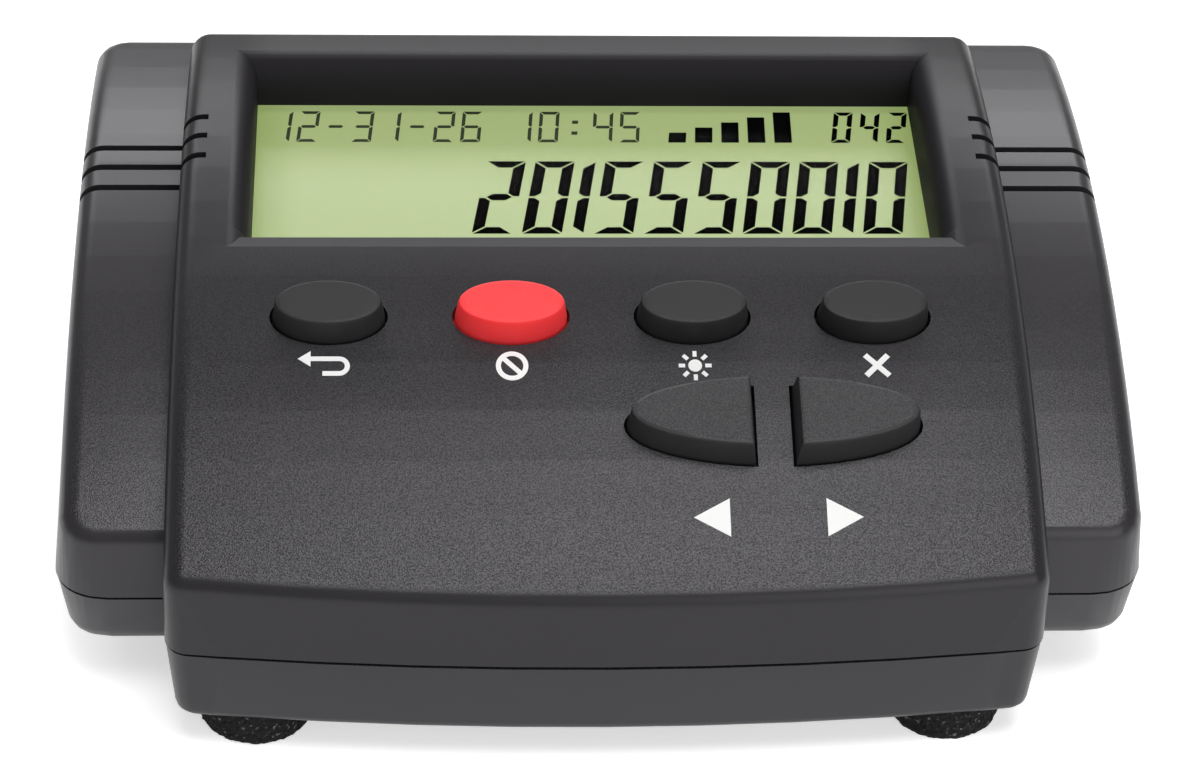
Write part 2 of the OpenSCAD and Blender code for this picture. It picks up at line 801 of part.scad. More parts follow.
module battery_door() {
    back = door_front + bay_w + 2 * door_lip - door_gap;
    front = door_front + door_gap;
    width = bay_l + 2 * door_lip - 2 * door_gap;
    color([0.24, 0.24, 0.25]) union() {
        across(width, [
            [at(front + door_bevel), foot_h], [at(front), hook_z], [at(front), door_top_z],
            [at(back), door_top_z], [at(back), foot_h]
        ]);
        for (s = [-1, 1]) {
            translate([s * hook_x - hook_w / 2, at(door_front) - hook_l, hook_z + hook_gap])
                cube([hook_w, hook_l + 3 * door_lip, hook_t]);
            at_pivot(s) cylinder(h = hook_w, r = pivot_r, center = true);
        }
        translate([-catch_w / 2, at(bay_front + bay_w) - catch_gap - catch_t, foot_h + door_t / 2])
            cube([catch_w, catch_t, door_t / 2 + catch_h]);
    }
}
battery_door();

module feet() {
    edge = 0.8;
    r = foot_r;
    color([0.12, 0.12, 0.12]) for (p = feet_at) {
        translate([p[0], at(p[1]), 0])
            rotate_extrude()
                polygon([[0, 0], [r - edge, 0], [r, edge], [r, foot_h + foot_seat], [0, foot_h + foot_seat]]);
    }
}
feet();

// Pan-head screw pointing up, with its head's seat at z 0: shaft radius and length, head radius and height
module screw(r, l, head_r, head_t) {
    slot_w = 0.25 * head_r;
    difference() {
        rotate_extrude()
            polygon([
                [0, -head_t], [0.7 * head_r, -head_t], [head_r, -0.6 * head_t], [head_r, 0],
                [r, 0], [r, l - r], [0.4 * r, l], [0, l]
            ]);
        for (a = [0, 90]) {
            rotate(a) translate([0, 0, -head_t]) cube([1.2 * head_r, slot_w, head_t], center = true);
        }
    }
}

module housing_screws() {
    color([0.65, 0.65, 0.67]) for (p = housing_screw_at) {
        translate([p[0], at(p[1]), screw_seat_z])
            screw(screw_r, seam_z + screw_grip - screw_seat_z, screw_head_r, screw_head_t);
    }
}
housing_screws();

// Block that is centred across and along its frame, with its top at height w
module slab(size, w) translate([0, 0, w - size[2] / 2]) cube(size, center = true);

module display_lens() {
    color([0.55, 0.6, 0.55]) on_display() slab([lcd_w, lcd_h, lens_t], 0);
}
display_lens();

// Two sheets of glass: the lower one is shorter, so that the upper one's contacts lie bare
module lcd_panel() {
    color([0.7, 0.78, 0.58]) on_display() {
        difference() {
            slab([lcd_w, lcd_h, lcd_t], -lens_t - lcd_gap);
            translate([0, ledge - lcd_h, 0]) slab([body_w, lcd_h, lcd_t], -lens_t - lcd_gap - lcd_t / 2);
        }
    }
}
lcd_panel();

module backlight_panel() {
    color([0.92, 0.93, 0.9]) on_display() {
        translate([0, ledge / 2, 0])
            slab([lcd_w - 2 * light_side, lcd_h - ledge - light_side, light_t], light_t - stack_t);
    }
}
backlight_panel();

// Conductive rubber strip between the lcd's contacts and its board
module lcd_connector() {
    h = light_t + lcd_t / 2;
    color([0.2, 0.2, 0.22]) on_display() {
        translate([0, (ledge - lcd_h) / 2, 0])
            slab([lcd_w - 2 * connector_side, ledge - 2 * clear, h], h - stack_t);
    }
}
lcd_connector();

module display_screw_holes() {
    for (p = display_screws) {
        translate([p[0], p[1], -2 * stack_t]) cylinder(h = 3 * stack_t, r = small_screw_r + free_gap);
    }
}

module lcd_holder() {
    color([0.15, 0.15, 0.16]) on_display() {
        difference() {
            slab([holder_w, holder_h, stack_t], 0);
            slab([lcd_w + 2 * holder_gap, lcd_h + 2 * holder_gap, stack_t + 2 * past], past);
            display_screw_holes();
        }
    }
}
lcd_holder();

module lcd_board() {
    color([0.12, 0.3, 0.16]) on_display() {
        difference() {
            slab([holder_w, holder_h, board_t], -stack_t);
            display_screw_holes();
        }
    }
}
lcd_board();

module lcd_screws() {
    color([0.65, 0.65, 0.67]) on_display() {
        for (p = display_screws) {
            translate([p[0], p[1], -stack_t - board_t])
                screw(small_screw_r, stack_t + board_t + small_pilot_l - clear, small_head_r, small_head_t);
        }
    }
}
lcd_screws();

// Slice of key k at height w, inset by i from its hole
module key_layer(k, w, i) translate([0, 0, w]) linear_extrude(slice) polygon(key_outline(k, -i));

// Key k: tapered cap with a rounded top edge, flange under the shell and stem
module key(k) {
    on_keypad() {
        translate(key_at(k)) {
            hull() {
                key_layer(k, -flange_top, key_gap);
                key_layer(k, 0, key_gap);
                for (a = [0, 45, 90]) {
                    inset = key_gap + key_taper + key_round * (1 - cos(a));
                    key_layer(k, key_up - slice - key_round * (1 - sin(a)), inset);
                }
            }
            translate([0, 0, -flange_top - flange_t])
                linear_extrude(flange_t) polygon(key_outline(k, flange_out - key_gap));
        }
        translate(stem_at(k) + [0, 0, -stem_end])
            cylinder(h = stem_end - flange_top - flange_t / 2, r = stem_r);
    }
}

key_grey = [0.22, 0.22, 0.23];
module key_back() color(key_grey) key(0);
key_back();
module key_block() color([0.85, 0.22, 0.24]) key(1);
key_block();
module key_bright() color(key_grey) key(2);
key_bright();
module key_delete() color(key_grey) key(3);
key_delete();
module key_left() color(key_grey) key(4);
key_left();
module key_right() color(key_grey) key(5);
key_right();

// Rubber mat on the main board, with a hollow dome round each stem
module key_mat() {
    dome_low = stem_r + 2.2;
    dome_high = stem_r + 1.2;
    color([0.35, 0.35, 0.36]) on_keypad() {
        difference() {
            union() {
                translate([-mat_w / 2, mat_low, -board_deep]) cube([mat_w, mat_high - mat_low, mat_t]);
                for (k = [0 : 5]) {
                    translate(stem_at(k) + [0, 0, -board_deep])
                        cylinder(h = board_deep - mat_dome_top, r1 = dome_low, r2 = dome_high);
                }
            }
            for (k = [0 : 5]) {
                translate(stem_at(k) + [0, 0, -board_deep - past])
                    cylinder(h = board_deep, r = stem_r + clear);
            }
        }
    }
}
key_mat();

module main_board() {
    color([0.12, 0.3, 0.16]) on_keypad() {
        difference() {
            translate([-board_w / 2, board_low, -board_deep - board_t])
                cube([board_w, board_high - board_low, board_t]);
            for (p = board_posts) {
                translate([p[0], p[1], -board_deep - board_t - past])
                    cylinder(h = board_t + 2 * past, r = small_screw_r + free_gap);
            }
        }
    }
}
main_board();

module board_screws() {
    color([0.65, 0.65, 0.67]) on_keypad() {
        for (p = board_posts) {
            translate([p[0], p[1], -board_deep - board_t])
                screw(small_screw_r, board_t + small_pilot_l - clear, small_head_r, small_head_t);
        }
    }
}
board_screws();

// Chip on the underside of the main board at place [x, v], with n legs on a side: body size [width, length]
module chip(place, size, n) {
    body_t = 1.4;
    stand = 0.2;
    leg_w = 0.5;
    leg_t = 0.2;
    foot_l = 0.6;
    bevel = 0.3;
    half = size[0] / 2;
    l = size[1];
    mid = stand + body_t / 2;
    on_keypad() translate([place[0], place[1], -board_deep - board_t]) {
        across(l, [
            [bevel - half, -stand], [half - bevel, -stand], [half, -mid],
            [half - bevel, -stand - body_t], [bevel - half, -stand - body_t], [-half, -mid]
        ]);
        for (s = [-1, 1], k = [0 : n - 1]) {
            translate([l / n * (k + 0.5 - n / 2), 0, 0]) across(leg_w, [
                [s * (half - bevel), -mid], [s * (half + foot_l), -mid],
                [s * (half + foot_l + leg_t), -leg_t],
                [s * (half + 2 * foot_l), -leg_t], [s * (half + 2 * foot_l), 0], [s * (half + foot_l), 0],
                [s * (half + foot_l - leg_t), leg_t - mid], [s * (half - bevel), leg_t - mid]
            ]);
        }
    }
}

// Distance of the two large chips, and of the crystal, from the main board's sides
chip_in = 24;
crystal_in = 8.6;
processor_at = [chip_in - board_w / 2, -2];
processor_size = [8, 15];
module processor_chip() color([0.1, 0.1, 0.11]) chip(processor_at, processor_size, 12);
processor_chip();
memory_at = [2, -3];
memory_size = [4, 5];
module memory_chip() color([0.1, 0.1, 0.11]) chip(memory_at, memory_size, 4);
memory_chip();
decoder_at = [board_w / 2 - chip_in, -4];
decoder_size = [6, 10];
module decoder_chip() color([0.1, 0.1, 0.11]) chip(decoder_at, decoder_size, 8);
decoder_chip();

// Metal can lying on the underside of the main board
crystal_at = [crystal_in - board_w / 2, 2];
module crystal() {
    can_l = 10;
    can_w = 4.4;
    can_t = 3.4;
    place = [crystal_at[0], crystal_at[1], -board_deep - board_t - can_t];
    color([0.75, 0.75, 0.77]) on_keypad() translate(place) linear_extrude(can_t) {
        square([can_l - can_w, can_w], center = true);
        for (s = [-1, 1]) translate([s * (can_l - can_w) / 2, 0]) circle(d = can_w);
    }
}
crystal();

module line_board() {
    color([0.12, 0.3, 0.16]) difference() {
        translate([-line_board_w / 2, at(line_board_d), line_board_z])
            cube([line_board_w, line_board_l, line_board_t]);
        for (p = line_posts) {
            translate([p[0], at(p[1]), 0]) cylinder(h = seam_z, r = small_screw_r + free_gap);
        }
    }
}
line_board();

module line_board_screws() {
    color([0.65, 0.65, 0.67]) for (p = line_posts) {
        translate([p[0], at(p[1]), line_top_z])
            mirror([0, 0, 1])
                screw(small_screw_r, line_board_t + line_pilot_l - clear, small_head_r, small_head_t);
    }
}
line_board_screws();

// Six-position telephone jack, open at the back, with a channel for the plug's latch below
module jack(side) {
    bevel = 0.6;
    translate([side * jack_pitch / 2, at(jack_d), line_top_z]) difference() {
        translate([-jack_w / 2, 0, 0]) cube([jack_w, jack_l, jack_h]);
        translate([-plug_w / 2, jack_l - plug_l, plug_z - line_top_z]) cube([plug_w, plug_l + past, plug_h]);
        translate([-latch_w / 2, jack_l - plug_l, plug_z - line_top_z - latch_h])
            cube([latch_w, plug_l + past, latch_h + bevel]);
    }
}
module line_jack() color([0.1, 0.1, 0.11]) jack(-1);
line_jack();
module phone_jack() color([0.1, 0.1, 0.11]) jack(1);
phone_jack();

// Spring wires that slope back into a jack from its ceiling
module contacts(side) {
    n = 4;
    pitch = 1.02;
    wire = 0.45;
    root = jack_d + jack_l - 2;
    tip = jack_d + jack_l - plug_l + 2;
    ceiling = plug_z + plug_h;
    for (k = [0 : n - 1]) {
        translate([side * jack_pitch / 2 + pitch * (k - (n - 1) / 2), 0, 0]) across(wire, [
            [at(root), ceiling], [at(root - 2 * wire), ceiling], [at(tip), contact_z + wire],
            [at(tip), contact_z], [at(tip + wire), contact_z], [at(root), ceiling - wire]
        ]);
    }
}
module line_contacts() color([0.85, 0.7, 0.3]) contacts(-1);
line_contacts();
module phone_contacts() color([0.85, 0.7, 0.3]) contacts(1);
phone_contacts();

// Box on the line board with its front left corner at [x, d], bevelled along its top edges
module component(x, d, size, bevel) {
    translate([x, at(d), line_top_z])
        rotate([90, 0, 90])
            linear_extrude(size[0])
                polygon([
                    [0, 0], [size[1], 0], [size[1], size[2] - bevel], [size[1] - bevel, size[2]],
                    [bevel, size[2]], [0, size[2] - bevel]
                ]);
}

relay_size = [15.4, 8.6, 11];
relay_set = 1.5;
module hook_relay() {
    color([0.9, 0.9, 0.86]) component(-relay_size[0] / 2, line_board_d + relay_set, relay_size, 0.5);
}
hook_relay();

capacitor_size = [11, 4.2, 8];
capacitor_gap = 4.4;
capacitor_pitch = 5;
capacitor_set = 1;
module coupling_capacitors() {
    color([0.75, 0.5, 0.15]) for (k = [0, 1]) {
        component(relay_size[0] / 2 + capacitor_gap, line_board_d + capacitor_set + capacitor_pitch * k,
            capacitor_size, 0.8);
    }
}
coupling_capacitors();

rectifier_size = [8, 6, 4];
rectifier_gap = 0.5;
rectifier_set = 7;
module bridge_rectifier() {
    x = -(jack_pitch + jack_w) / 2 - rectifier_gap - rectifier_size[0];
    color([0.12, 0.12, 0.12]) component(x, line_board_d + rectifier_set, rectifier_size, 0.6);
}
bridge_rectifier();

// Strip of thickness t whose upper side follows the points [d, z]
module strip(width, t, points) {
    n = len(points);
    across(width, concat(
        [for (p = points) [at(p[0]), p[1]]],
        [for (k = [n - 1 : -1 : 0]) [at(points[k][0]), points[k][1] - t]]
    ));
}

// Plug of a ribbon cable on the underside of a board, in that board's frame
module ribbon_plug(x, v, w) translate([x, v, w]) slab([plug_block[0], plug_block[1], plug_block[2]], 0);

module display_ribbon() {
    x = ribbon_x;
    v_main = board_high - 3.5;
    v_lcd = 4 - holder_h / 2;
    p = keypad_point(v_main, -board_deep - board_t - plug_block[2] + ribbon_t);
    q = display_point(v_lcd, -stack_t - board_t - plug_block[2] + ribbon_t);
    color([0.8, 0.8, 0.78]) union() {
        on_keypad() ribbon_plug(x, v_main, -board_deep - board_t);
        on_display() ribbon_plug(x, v_lcd, -stack_t - board_t);
        translate([x, 0, 0]) strip(ribbon_w, ribbon_t, [p, (p + q) / 2 - [0, ribbon_sag], q]);
    }
}
display_ribbon();

module line_ribbon() {
    x = -ribbon_x;
    v_main = board_high - 6;
    d_line = line_board_d + plug_block[1] / 2 + 0.5;
    p = keypad_point(v_main, -board_deep - board_t - plug_block[2] + ribbon_t);
    q = [d_line, line_top_z + plug_block[2]];
    rise = [bay_front + bay_w + bay_t + ribbon_t, bay_top_z + bay_roof_t + ribbon_sag];
    color([0.8, 0.8, 0.78]) union() {
        on_keypad() ribbon_plug(x, v_main, -board_deep - board_t);
        translate([0, at(d_line), 0]) ribbon_plug(x, 0, line_top_z + plug_block[2]);
        translate([x, 0, 0]) strip(ribbon_w, ribbon_t, [p, rise, q]);
    }
}
line_ribbon();

// Cells lie across the bay, turned about in alternation
function cell_d(k) = bay_front + bay_w / 2 + cell_pitch * (k - (cell_n - 1) / 2);
module at_cell(k) {
    translate([0, at(cell_d(k)), cell_z]) rotate([0, k % 2 == 0 ? 90 : -90, 0]) children();
}

module cells() {
    r = cell_dia / 2;
    edge = 0.6;
    nub_r = 1.9;
    low = -bay_l / 2 + leaf_room;
    high = low + cell_l;
    color([0.3, 0.32, 0.36]) for (k = [0 : cell_n - 1]) {
        at_cell(k) rotate_extrude() polygon([
            [0, low], [r - edge, low], [r, low + edge], [r, high - nub_l - edge], [r - edge, high - nub_l],
            [nub_r, high - nub_l], [nub_r, high], [0, high]
        ]);
    }
}
cells();

// Bent leaf between the bay's end wall and the flat end of each cell
module cell_springs() {
    t = 0.4;
    half = 0.38 * cell_dia;
    nose = 0.8;
    low = -bay_l / 2;
    color([0.75, 0.75, 0.77]) for (k = [0 : cell_n - 1]) {
        at_cell(k) rotate([90, 0, 0]) linear_extrude(0.5 * cell_dia, center = true) polygon([
            [-half, low], [half, low], [half, low + t], [-half + 2 * t, low + t],
            [nose, low + leaf_room - t], [half - t, low + 2 * t], [half, low + 3 * t],
            [nose, low + leaf_room], [-nose, low + leaf_room], [-half, low + 2 * t]
        ]);
    }
}
cell_springs();

// Flat contact with a raised button at the nub of each cell
module cell_plates() {
    t = 0.4;
    half = 0.38 * cell_dia;
    button_r = 1.5;
    high = bay_l / 2;
    color([0.75, 0.75, 0.77]) for (k = [0 : cell_n - 1]) {
        at_cell(k) union() {
            translate([-half, -half, high - t]) cube([2 * half, 2 * half, t]);
            translate([0, 0, high - plate_room]) cylinder(h = plate_room - t / 2, r = button_r);
        }
    }
}
cell_plates();
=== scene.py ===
"""Looks of the caller id box: materials, reshaped copies, feet, display, signs, light and camera."""

import json
import math

import bmesh
import bpy
from mathutils import Matrix, Vector, noise


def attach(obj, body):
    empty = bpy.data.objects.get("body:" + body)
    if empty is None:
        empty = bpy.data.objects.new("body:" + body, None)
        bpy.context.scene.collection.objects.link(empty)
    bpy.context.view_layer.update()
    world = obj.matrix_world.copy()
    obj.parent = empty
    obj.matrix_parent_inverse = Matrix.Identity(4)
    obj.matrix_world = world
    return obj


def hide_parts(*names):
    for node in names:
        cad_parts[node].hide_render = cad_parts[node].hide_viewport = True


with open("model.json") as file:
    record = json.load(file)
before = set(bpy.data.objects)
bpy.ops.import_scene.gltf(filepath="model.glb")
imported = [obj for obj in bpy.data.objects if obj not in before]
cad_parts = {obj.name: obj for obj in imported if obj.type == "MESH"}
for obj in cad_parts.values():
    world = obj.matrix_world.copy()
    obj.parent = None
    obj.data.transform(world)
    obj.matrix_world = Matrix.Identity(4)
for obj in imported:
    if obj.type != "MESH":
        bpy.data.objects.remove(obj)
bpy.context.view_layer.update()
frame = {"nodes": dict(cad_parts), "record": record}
nodes = frame["nodes"]

# Sizes of the body that the pieces here are set on, in metres
MM = 0.001
BODY_DEPTH = 92.8 * MM
DOME_R = 130 * MM
DOME_Y = 25.23 * MM
DOME_Z = -87.7 * MM
DISPLAY_TILT = math.radians(6)
DISPLAY_D = 65 * MM
LENS_DEEP = 8 * MM
LCD_DEEP = 1.1 * MM
WINDOW_W = 78.4 * MM
CORE_W = 94.8 * MM
KEY_PITCH = 20 * MM
ARROW_X = 18.2 * MM

# How far a print lies above the face that carries it, and how thick it is
PRINT_LIFT = 0.06 * MM
SEGMENT_LIFT = 0.04 * MM
PRINT_THICK = 0.03 * MM

# Distances at which corners of a mesh are one: when built, cut or shaded
WELD = 0.0001 * MM
CUT_NEAR = 10 * WELD
MERGE_NEAR = 0.002 * MM


def place_y(d):
    """Y of a point that lies d behind the front of the body."""
    return d - BODY_DEPTH / 2


def dome_z(y):
    """Height of the domed top at y."""
    return DOME_Z + math.sqrt(DOME_R ** 2 - (y - DOME_Y) ** 2)


def on_dome(x, d):
    """Point of a print on the dome, at x and d behind the front."""
    y = place_y(d)
    return Vector((x, y, dome_z(y) + PRINT_LIFT))


def on_lcd(x, v):
    """Point of a segment on the lcd, at x and v up the tilted display from its middle."""
    y = place_y(DISPLAY_D)
    origin = Vector((0, y, dome_z(y) - LENS_DEEP))
    along = Vector((0, math.cos(DISPLAY_TILT), math.sin(DISPLAY_TILT)))
    out = Vector((0, -math.sin(DISPLAY_TILT), math.cos(DISPLAY_TILT)))
    return origin + Vector((x, 0, 0)) + along * v + out * (SEGMENT_LIFT - LCD_DEEP)


def share_of(value, none, full):
    """Share from 0 to 1 of the way that a value has gone between two limits."""
    return min(max((value - none) / (full - none), 0), 1)


def add_object(name, made):
    """New object in the scene from a finished bmesh, which is freed."""
    mesh = bpy.data.meshes.new(name)
    made.to_mesh(mesh)
    made.free()
    piece = bpy.data.objects.new(name, mesh)
    bpy.context.scene.collection.objects.link(piece)
    return piece


# Noises: levels between which their effects change, detail, and scales in features per metre
NOISE_LOW = 0.3
NOISE_HIGH = 0.7
PLAIN_DETAIL = 2
FINE_DETAIL = 3
SLOW_SCALE = 60
LCD_SCALE = 2500
LENS_SCALE = 900
FLOOR_SCALE = 6


def new_material(name):
    """Empty node material with a Principled shader."""
    material = bpy.data.materials.new(name)
    material.use_nodes = True
    tree = material.node_tree
    tree.nodes.clear()
    output = tree.nodes.new("ShaderNodeOutputMaterial")
    shader = tree.nodes.new("ShaderNodeBsdfPrincipled")
    tree.links.new(shader.outputs["BSDF"], output.inputs["Surface"])
    return material, tree, shader


def object_space(tree):
    """Place of a point in its object."""
    return tree.nodes.new("ShaderNodeTexCoord").outputs["Object"]


def split_axes(tree, vector):
    """Outputs X, Y and Z of a vector."""
    apart = tree.nodes.new("ShaderNodeSeparateXYZ")
    tree.links.new(vector, apart.inputs["Vector"])
    return apart.outputs


def noise_of(tree, scale, detail, coords):
    """Noise with features of about 1 / scale metres."""
    texture = tree.nodes.new("ShaderNodeTexNoise")
    texture.inputs["Scale"].default_value = scale
    texture.inputs["Detail"].default_value = detail
    tree.links.new(coords, texture.inputs["Vector"])
    return texture.outputs["Fac"]


def spread(tree, source, low, high, near=NOISE_LOW, far=NOISE_HIGH):
    """Number that goes from low to high while its source goes from near to far."""
    node = tree.nodes.new("ShaderNodeMapRange")
    node.inputs["From Min"].default_value = near
    node.inputs["From Max"].default_value = far
    node.inputs["To Min"].default_value = low
    node.inputs["To Max"].default_value = high
    tree.links.new(source, node.inputs["Value"])
    return node.outputs["Result"]


def between(tree, share, none, full):
    """Number between two values, by a share from 0 to 1."""
    return spread(tree, share, none, full, 0, 1)


def along_body(tree, axes, low, high, near, far):
    """Number that goes from low to high between two distances behind the front."""
    return spread(tree, axes["Y"], low, high, place_y(near), place_y(far))


def soft_step(tree, source, near, far):
    """Number that goes from 0 to 1 while its source goes from near to far, with a soft start and end."""
    node = tree.nodes.new("ShaderNodeMapRange")
    node.interpolation_type = "SMOOTHSTEP"
    node.inputs["From Min"].default_value = near
    node.inputs["From Max"].default_value = far
    tree.links.new(source, node.inputs["Value"])
    return node.outputs["Result"]


def combined(tree, operation, first, second):
    """Sum, product or test of two numbers, each a socket or a constant."""
    node = tree.nodes.new("ShaderNodeMath")
    node.operation = operation
    for socket, value in zip(node.inputs, (first, second)):
        if isinstance(value, (int, float)):
            socket.default_value = value
        else:
            tree.links.new(value, socket)
    return node.outputs["Value"]


def multiplied(tree, first, second):
    """Product of two numbers."""
    return combined(tree, "MULTIPLY", first, second)


def from_middle(tree, axes):
    """Distance of a point from the middle plane of the body."""
    return combined(tree, "ABSOLUTE", axes["X"], 0)


def color_ramp(tree, source, stops):
    """Colour that follows a number through two or more stops, each a level and a colour."""
    ramp = tree.nodes.new("ShaderNodeValToRGB")
    elements = ramp.color_ramp.elements
    for element, (level, color) in zip(elements, stops):
        element.position = level
        element.color = color
    for level, color in stops[2:]:
        elements.new(level).color = color
    tree.links.new(source, ramp.inputs["Fac"])
    return ramp.outputs["Color"]


def shade(color, factor):
    """Colour made lighter or darker, with full alpha."""
    return (color[0] * factor, color[1] * factor, color[2] * factor, 1)


def wandering(tree, source, color, amount):
    """Colour that wanders a little with a noise."""
    stops = ((NOISE_LOW, shade(color, 1 - amount)), (NOISE_HIGH, shade(color, 1 + amount)))
    return color_ramp(tree, source, stops)


def add_bump(tree, source, shader, depth):
    """Relief from a height texture, depth in metres."""
    bump = tree.nodes.new("ShaderNodeBump")
    bump.inputs["Strength"].default_value = 1
    bump.inputs["Distance"].default_value = depth
    tree.links.new(source, bump.inputs["Height"])
    tree.links.new(bump.outputs["Normal"], shader.inputs["Normal"])


# Roughness: its change with the grain on either side of a mean, or its lowest and highest value
MOULDED_ROUGH = 0.06
GRAIN_ROUGH = 0.04
FOAM_ROUGH = (0.8, 1.0)
LCD_ROUGH = (0.3, 0.42)
LENS_ROUGH = (0.04, 0.1)

# Grain of the dark plastic: size, noise levels, share at the front and back, and heights of the normal
GRAIN_SIZE = 0.17 * MM
GRAIN_LOW = 0.38
GRAIN_HIGH = 0.62
GRAIN_LEAST = 0.08
GRAIN_MOST = 1.2
GRAIN_LEAST_D = 44 * MM
GRAIN_MOST_D = 3 * MM
STEEP_Z = 0.72
LEVEL_Z = 0.86
BUMP_LEAST = 0.05

# Gloss, tint of the gloss and random change of tone of the dark plastic, and the painted light and shade on
# the core and on the wings: a darker base colour on the core, a lighter and glossier one on the wings
GLOSS = 0.36
GLOSS_TINT = (0.98, 0.955, 1, 1)
SHADE_CHANGE = 0.04
CORE_PAINTED_SHADE = 0.96
WING_PAINTED_LIGHT = 1.2
WING_PAINTED_SHEEN = 1.21

# Painted sheen and shade of the core, as shares of its gloss: at its front, at its keys and at its back,
# with the distances at which it changes
FRONT_SHEEN = 0.97
KEYS_SHEEN = 1.08
BACK_PAINTED_SHADE = 0.72
FRONT_SHEEN_D = 6 * MM
KEYS_SHEEN_D = 40 * MM
KEYS_SHEEN_END_D = 48 * MM
BACK_SHEEN_D = 84 * MM

# Strips of the core beside the window, with painted shade: less gloss there
STRIP_PAINTED_SHADE = 0.62
STRIP_SOFT = 2 * MM
STRIP_START_D = 40 * MM
STRIP_FULL_D = 52 * MM

# Walls of the sunk window: where they lie, the painted light and shade on them (a lighter base colour and
# less gloss than the rest of the core), and their greater roughness
WALLS_X = CORE_W / 2 - 2.5 * MM
WALLS_FRONT_D = 46 * MM
WALLS_BACK_D = 84.5 * MM
WALL_START = 0.1 * MM
WALL_FULL = 0.9 * MM
WALL_PAINTED_LIGHT = 1.3
WALL_SHADE_GLOSS = 0.12
WALL_ROUGH = 0.15

# Foam of the feet, as levels of its noise and their colours
PORE_SIZE = 0.5 * MM
PORE_DEPTH = 0.25 * MM
FOAM_STOPS = (
    (0.40, (0.006, 0.006, 0.006, 1)),
    (0.62, (0.022, 0.022, 0.023, 1)),
    (0.70, (0.20, 0.20, 0.20, 1)),
)

# Display glass: colours in the middle and at the edges (darker, as painted shade of the window's walls),
# where it changes, and its glow: partly its backlight, partly painted light that washes out the shadow of
# the back rim
LCD_COLOR = (0.093, 0.117, 0.049, 1)
LCD_EDGE_SHADE_COLOR = (0.074, 0.098, 0.033, 1)
LCD_EDGE_START = WINDOW_W / 2 - 6 * MM
LCD_EDGE_END = WINDOW_W / 2 + 1 * MM
LCD_GLOW = 3.2

# Clear lens
LENS_COLOR = (0.02, 0.022, 0.02, 1)
LENS_ALPHA = 0.015


def moulded(name, color, roughness, grain, depth, variation=0.06, metallic=0.0, specular=0.5):
    """Moulded, rolled or printed surface: fine grain of that size and depth, and a slow change of shade."""
    material, tree, shader = new_material(name)
    coords = object_space(tree)
    fine = noise_of(tree, 1 / grain, FINE_DETAIL, coords)
    slow = noise_of(tree, SLOW_SCALE, PLAIN_DETAIL, coords)
    tree.links.new(wandering(tree, slow, color, variation), shader.inputs["Base Color"])
    rough = spread(tree, fine, roughness - MOULDED_ROUGH, roughness + MOULDED_ROUGH)
    tree.links.new(rough, shader.inputs["Roughness"])
    add_bump(tree, fine, shader, depth)
    shader.inputs["Metallic"].default_value = metallic
    shader.inputs["Specular IOR Level"].default_value = specular
    return material


def facing_up(tree):
    """1 on faces that look up, 0 on steep ones, with a soft change between."""
    normal = tree.nodes.new("ShaderNodeNewGeometry").outputs["Normal"]
    return soft_step(tree, split_axes(tree, normal)["Z"], STEEP_Z, LEVEL_Z)


def towards_front(tree, coords):
    """1 and over at the front of the body, next to nothing at its back, where the mould is smooth."""
    axes = split_axes(tree, coords)
    return along_body(tree, axes, GRAIN_LEAST, GRAIN_MOST, GRAIN_LEAST_D, GRAIN_MOST_D)


def below_dome(tree, coords):
    """How far a point lies below the domed top, in metres."""
    across = tree.nodes.new("ShaderNodeVectorMath")
    across.operation = "MULTIPLY"
    across.inputs[1].default_value = (0, 1, 1)
    tree.links.new(coords, across.inputs[0])
    reach = tree.nodes.new("ShaderNodeVectorMath")
    reach.operation = "DISTANCE"
    reach.inputs[1].default_value = (0, DOME_Y, DOME_Z)
    tree.links.new(across.outputs["Vector"], reach.inputs[0])
    return combined(tree, "SUBTRACT", DOME_R, reach.outputs["Value"])


def in_window(tree, coords):
    """1 on the walls of the sunk window, where light and shade are painted, 0 on the rest of the body."""
    axes = split_axes(tree, coords)
    inside = combined(tree, "LESS_THAN", from_middle(tree, axes), WALLS_X)
    behind_keys = combined(tree, "GREATER_THAN", axes["Y"], place_y(WALLS_FRONT_D))
    before_back = combined(tree, "LESS_THAN", axes["Y"], place_y(WALLS_BACK_D))
    inside = multiplied(tree, multiplied(tree, inside, behind_keys), before_back)
    return multiplied(tree, inside, spread(tree, below_dome(tree, coords), 0, 1, WALL_START, WALL_FULL))


def on_wing(tree, coords):
    """1 on the wings, which get painted light and sheen, 0 on the core between them."""
    return combined(tree, "GREATER_THAN", from_middle(tree, split_axes(tree, coords)), CORE_W / 2)


def sheen_along(tree, coords, wing):
    """Share of the gloss, as painted sheen and shade: even on the wings, less towards the back of the core
    and beside its window.
    """
    axes = split_axes(tree, coords)
    edge = WINDOW_W / 2
    strip = spread(tree, from_middle(tree, axes), 0, 1, edge - STRIP_SOFT, edge + STRIP_SOFT)
    strip = multiplied(tree, strip, along_body(tree, axes, 0, 1, STRIP_START_D, STRIP_FULL_D))
    front = along_body(tree, axes, FRONT_SHEEN, KEYS_SHEEN, FRONT_SHEEN_D, KEYS_SHEEN_D)
    back = along_body(tree, axes, 1, BACK_PAINTED_SHADE, KEYS_SHEEN_END_D, BACK_SHEEN_D)
    core = multiplied(tree, multiplied(tree, front, back), between(tree, strip, 1, STRIP_PAINTED_SHADE))
    return combined(tree, "MAXIMUM", core, multiplied(tree, wing, WING_PAINTED_SHEEN))


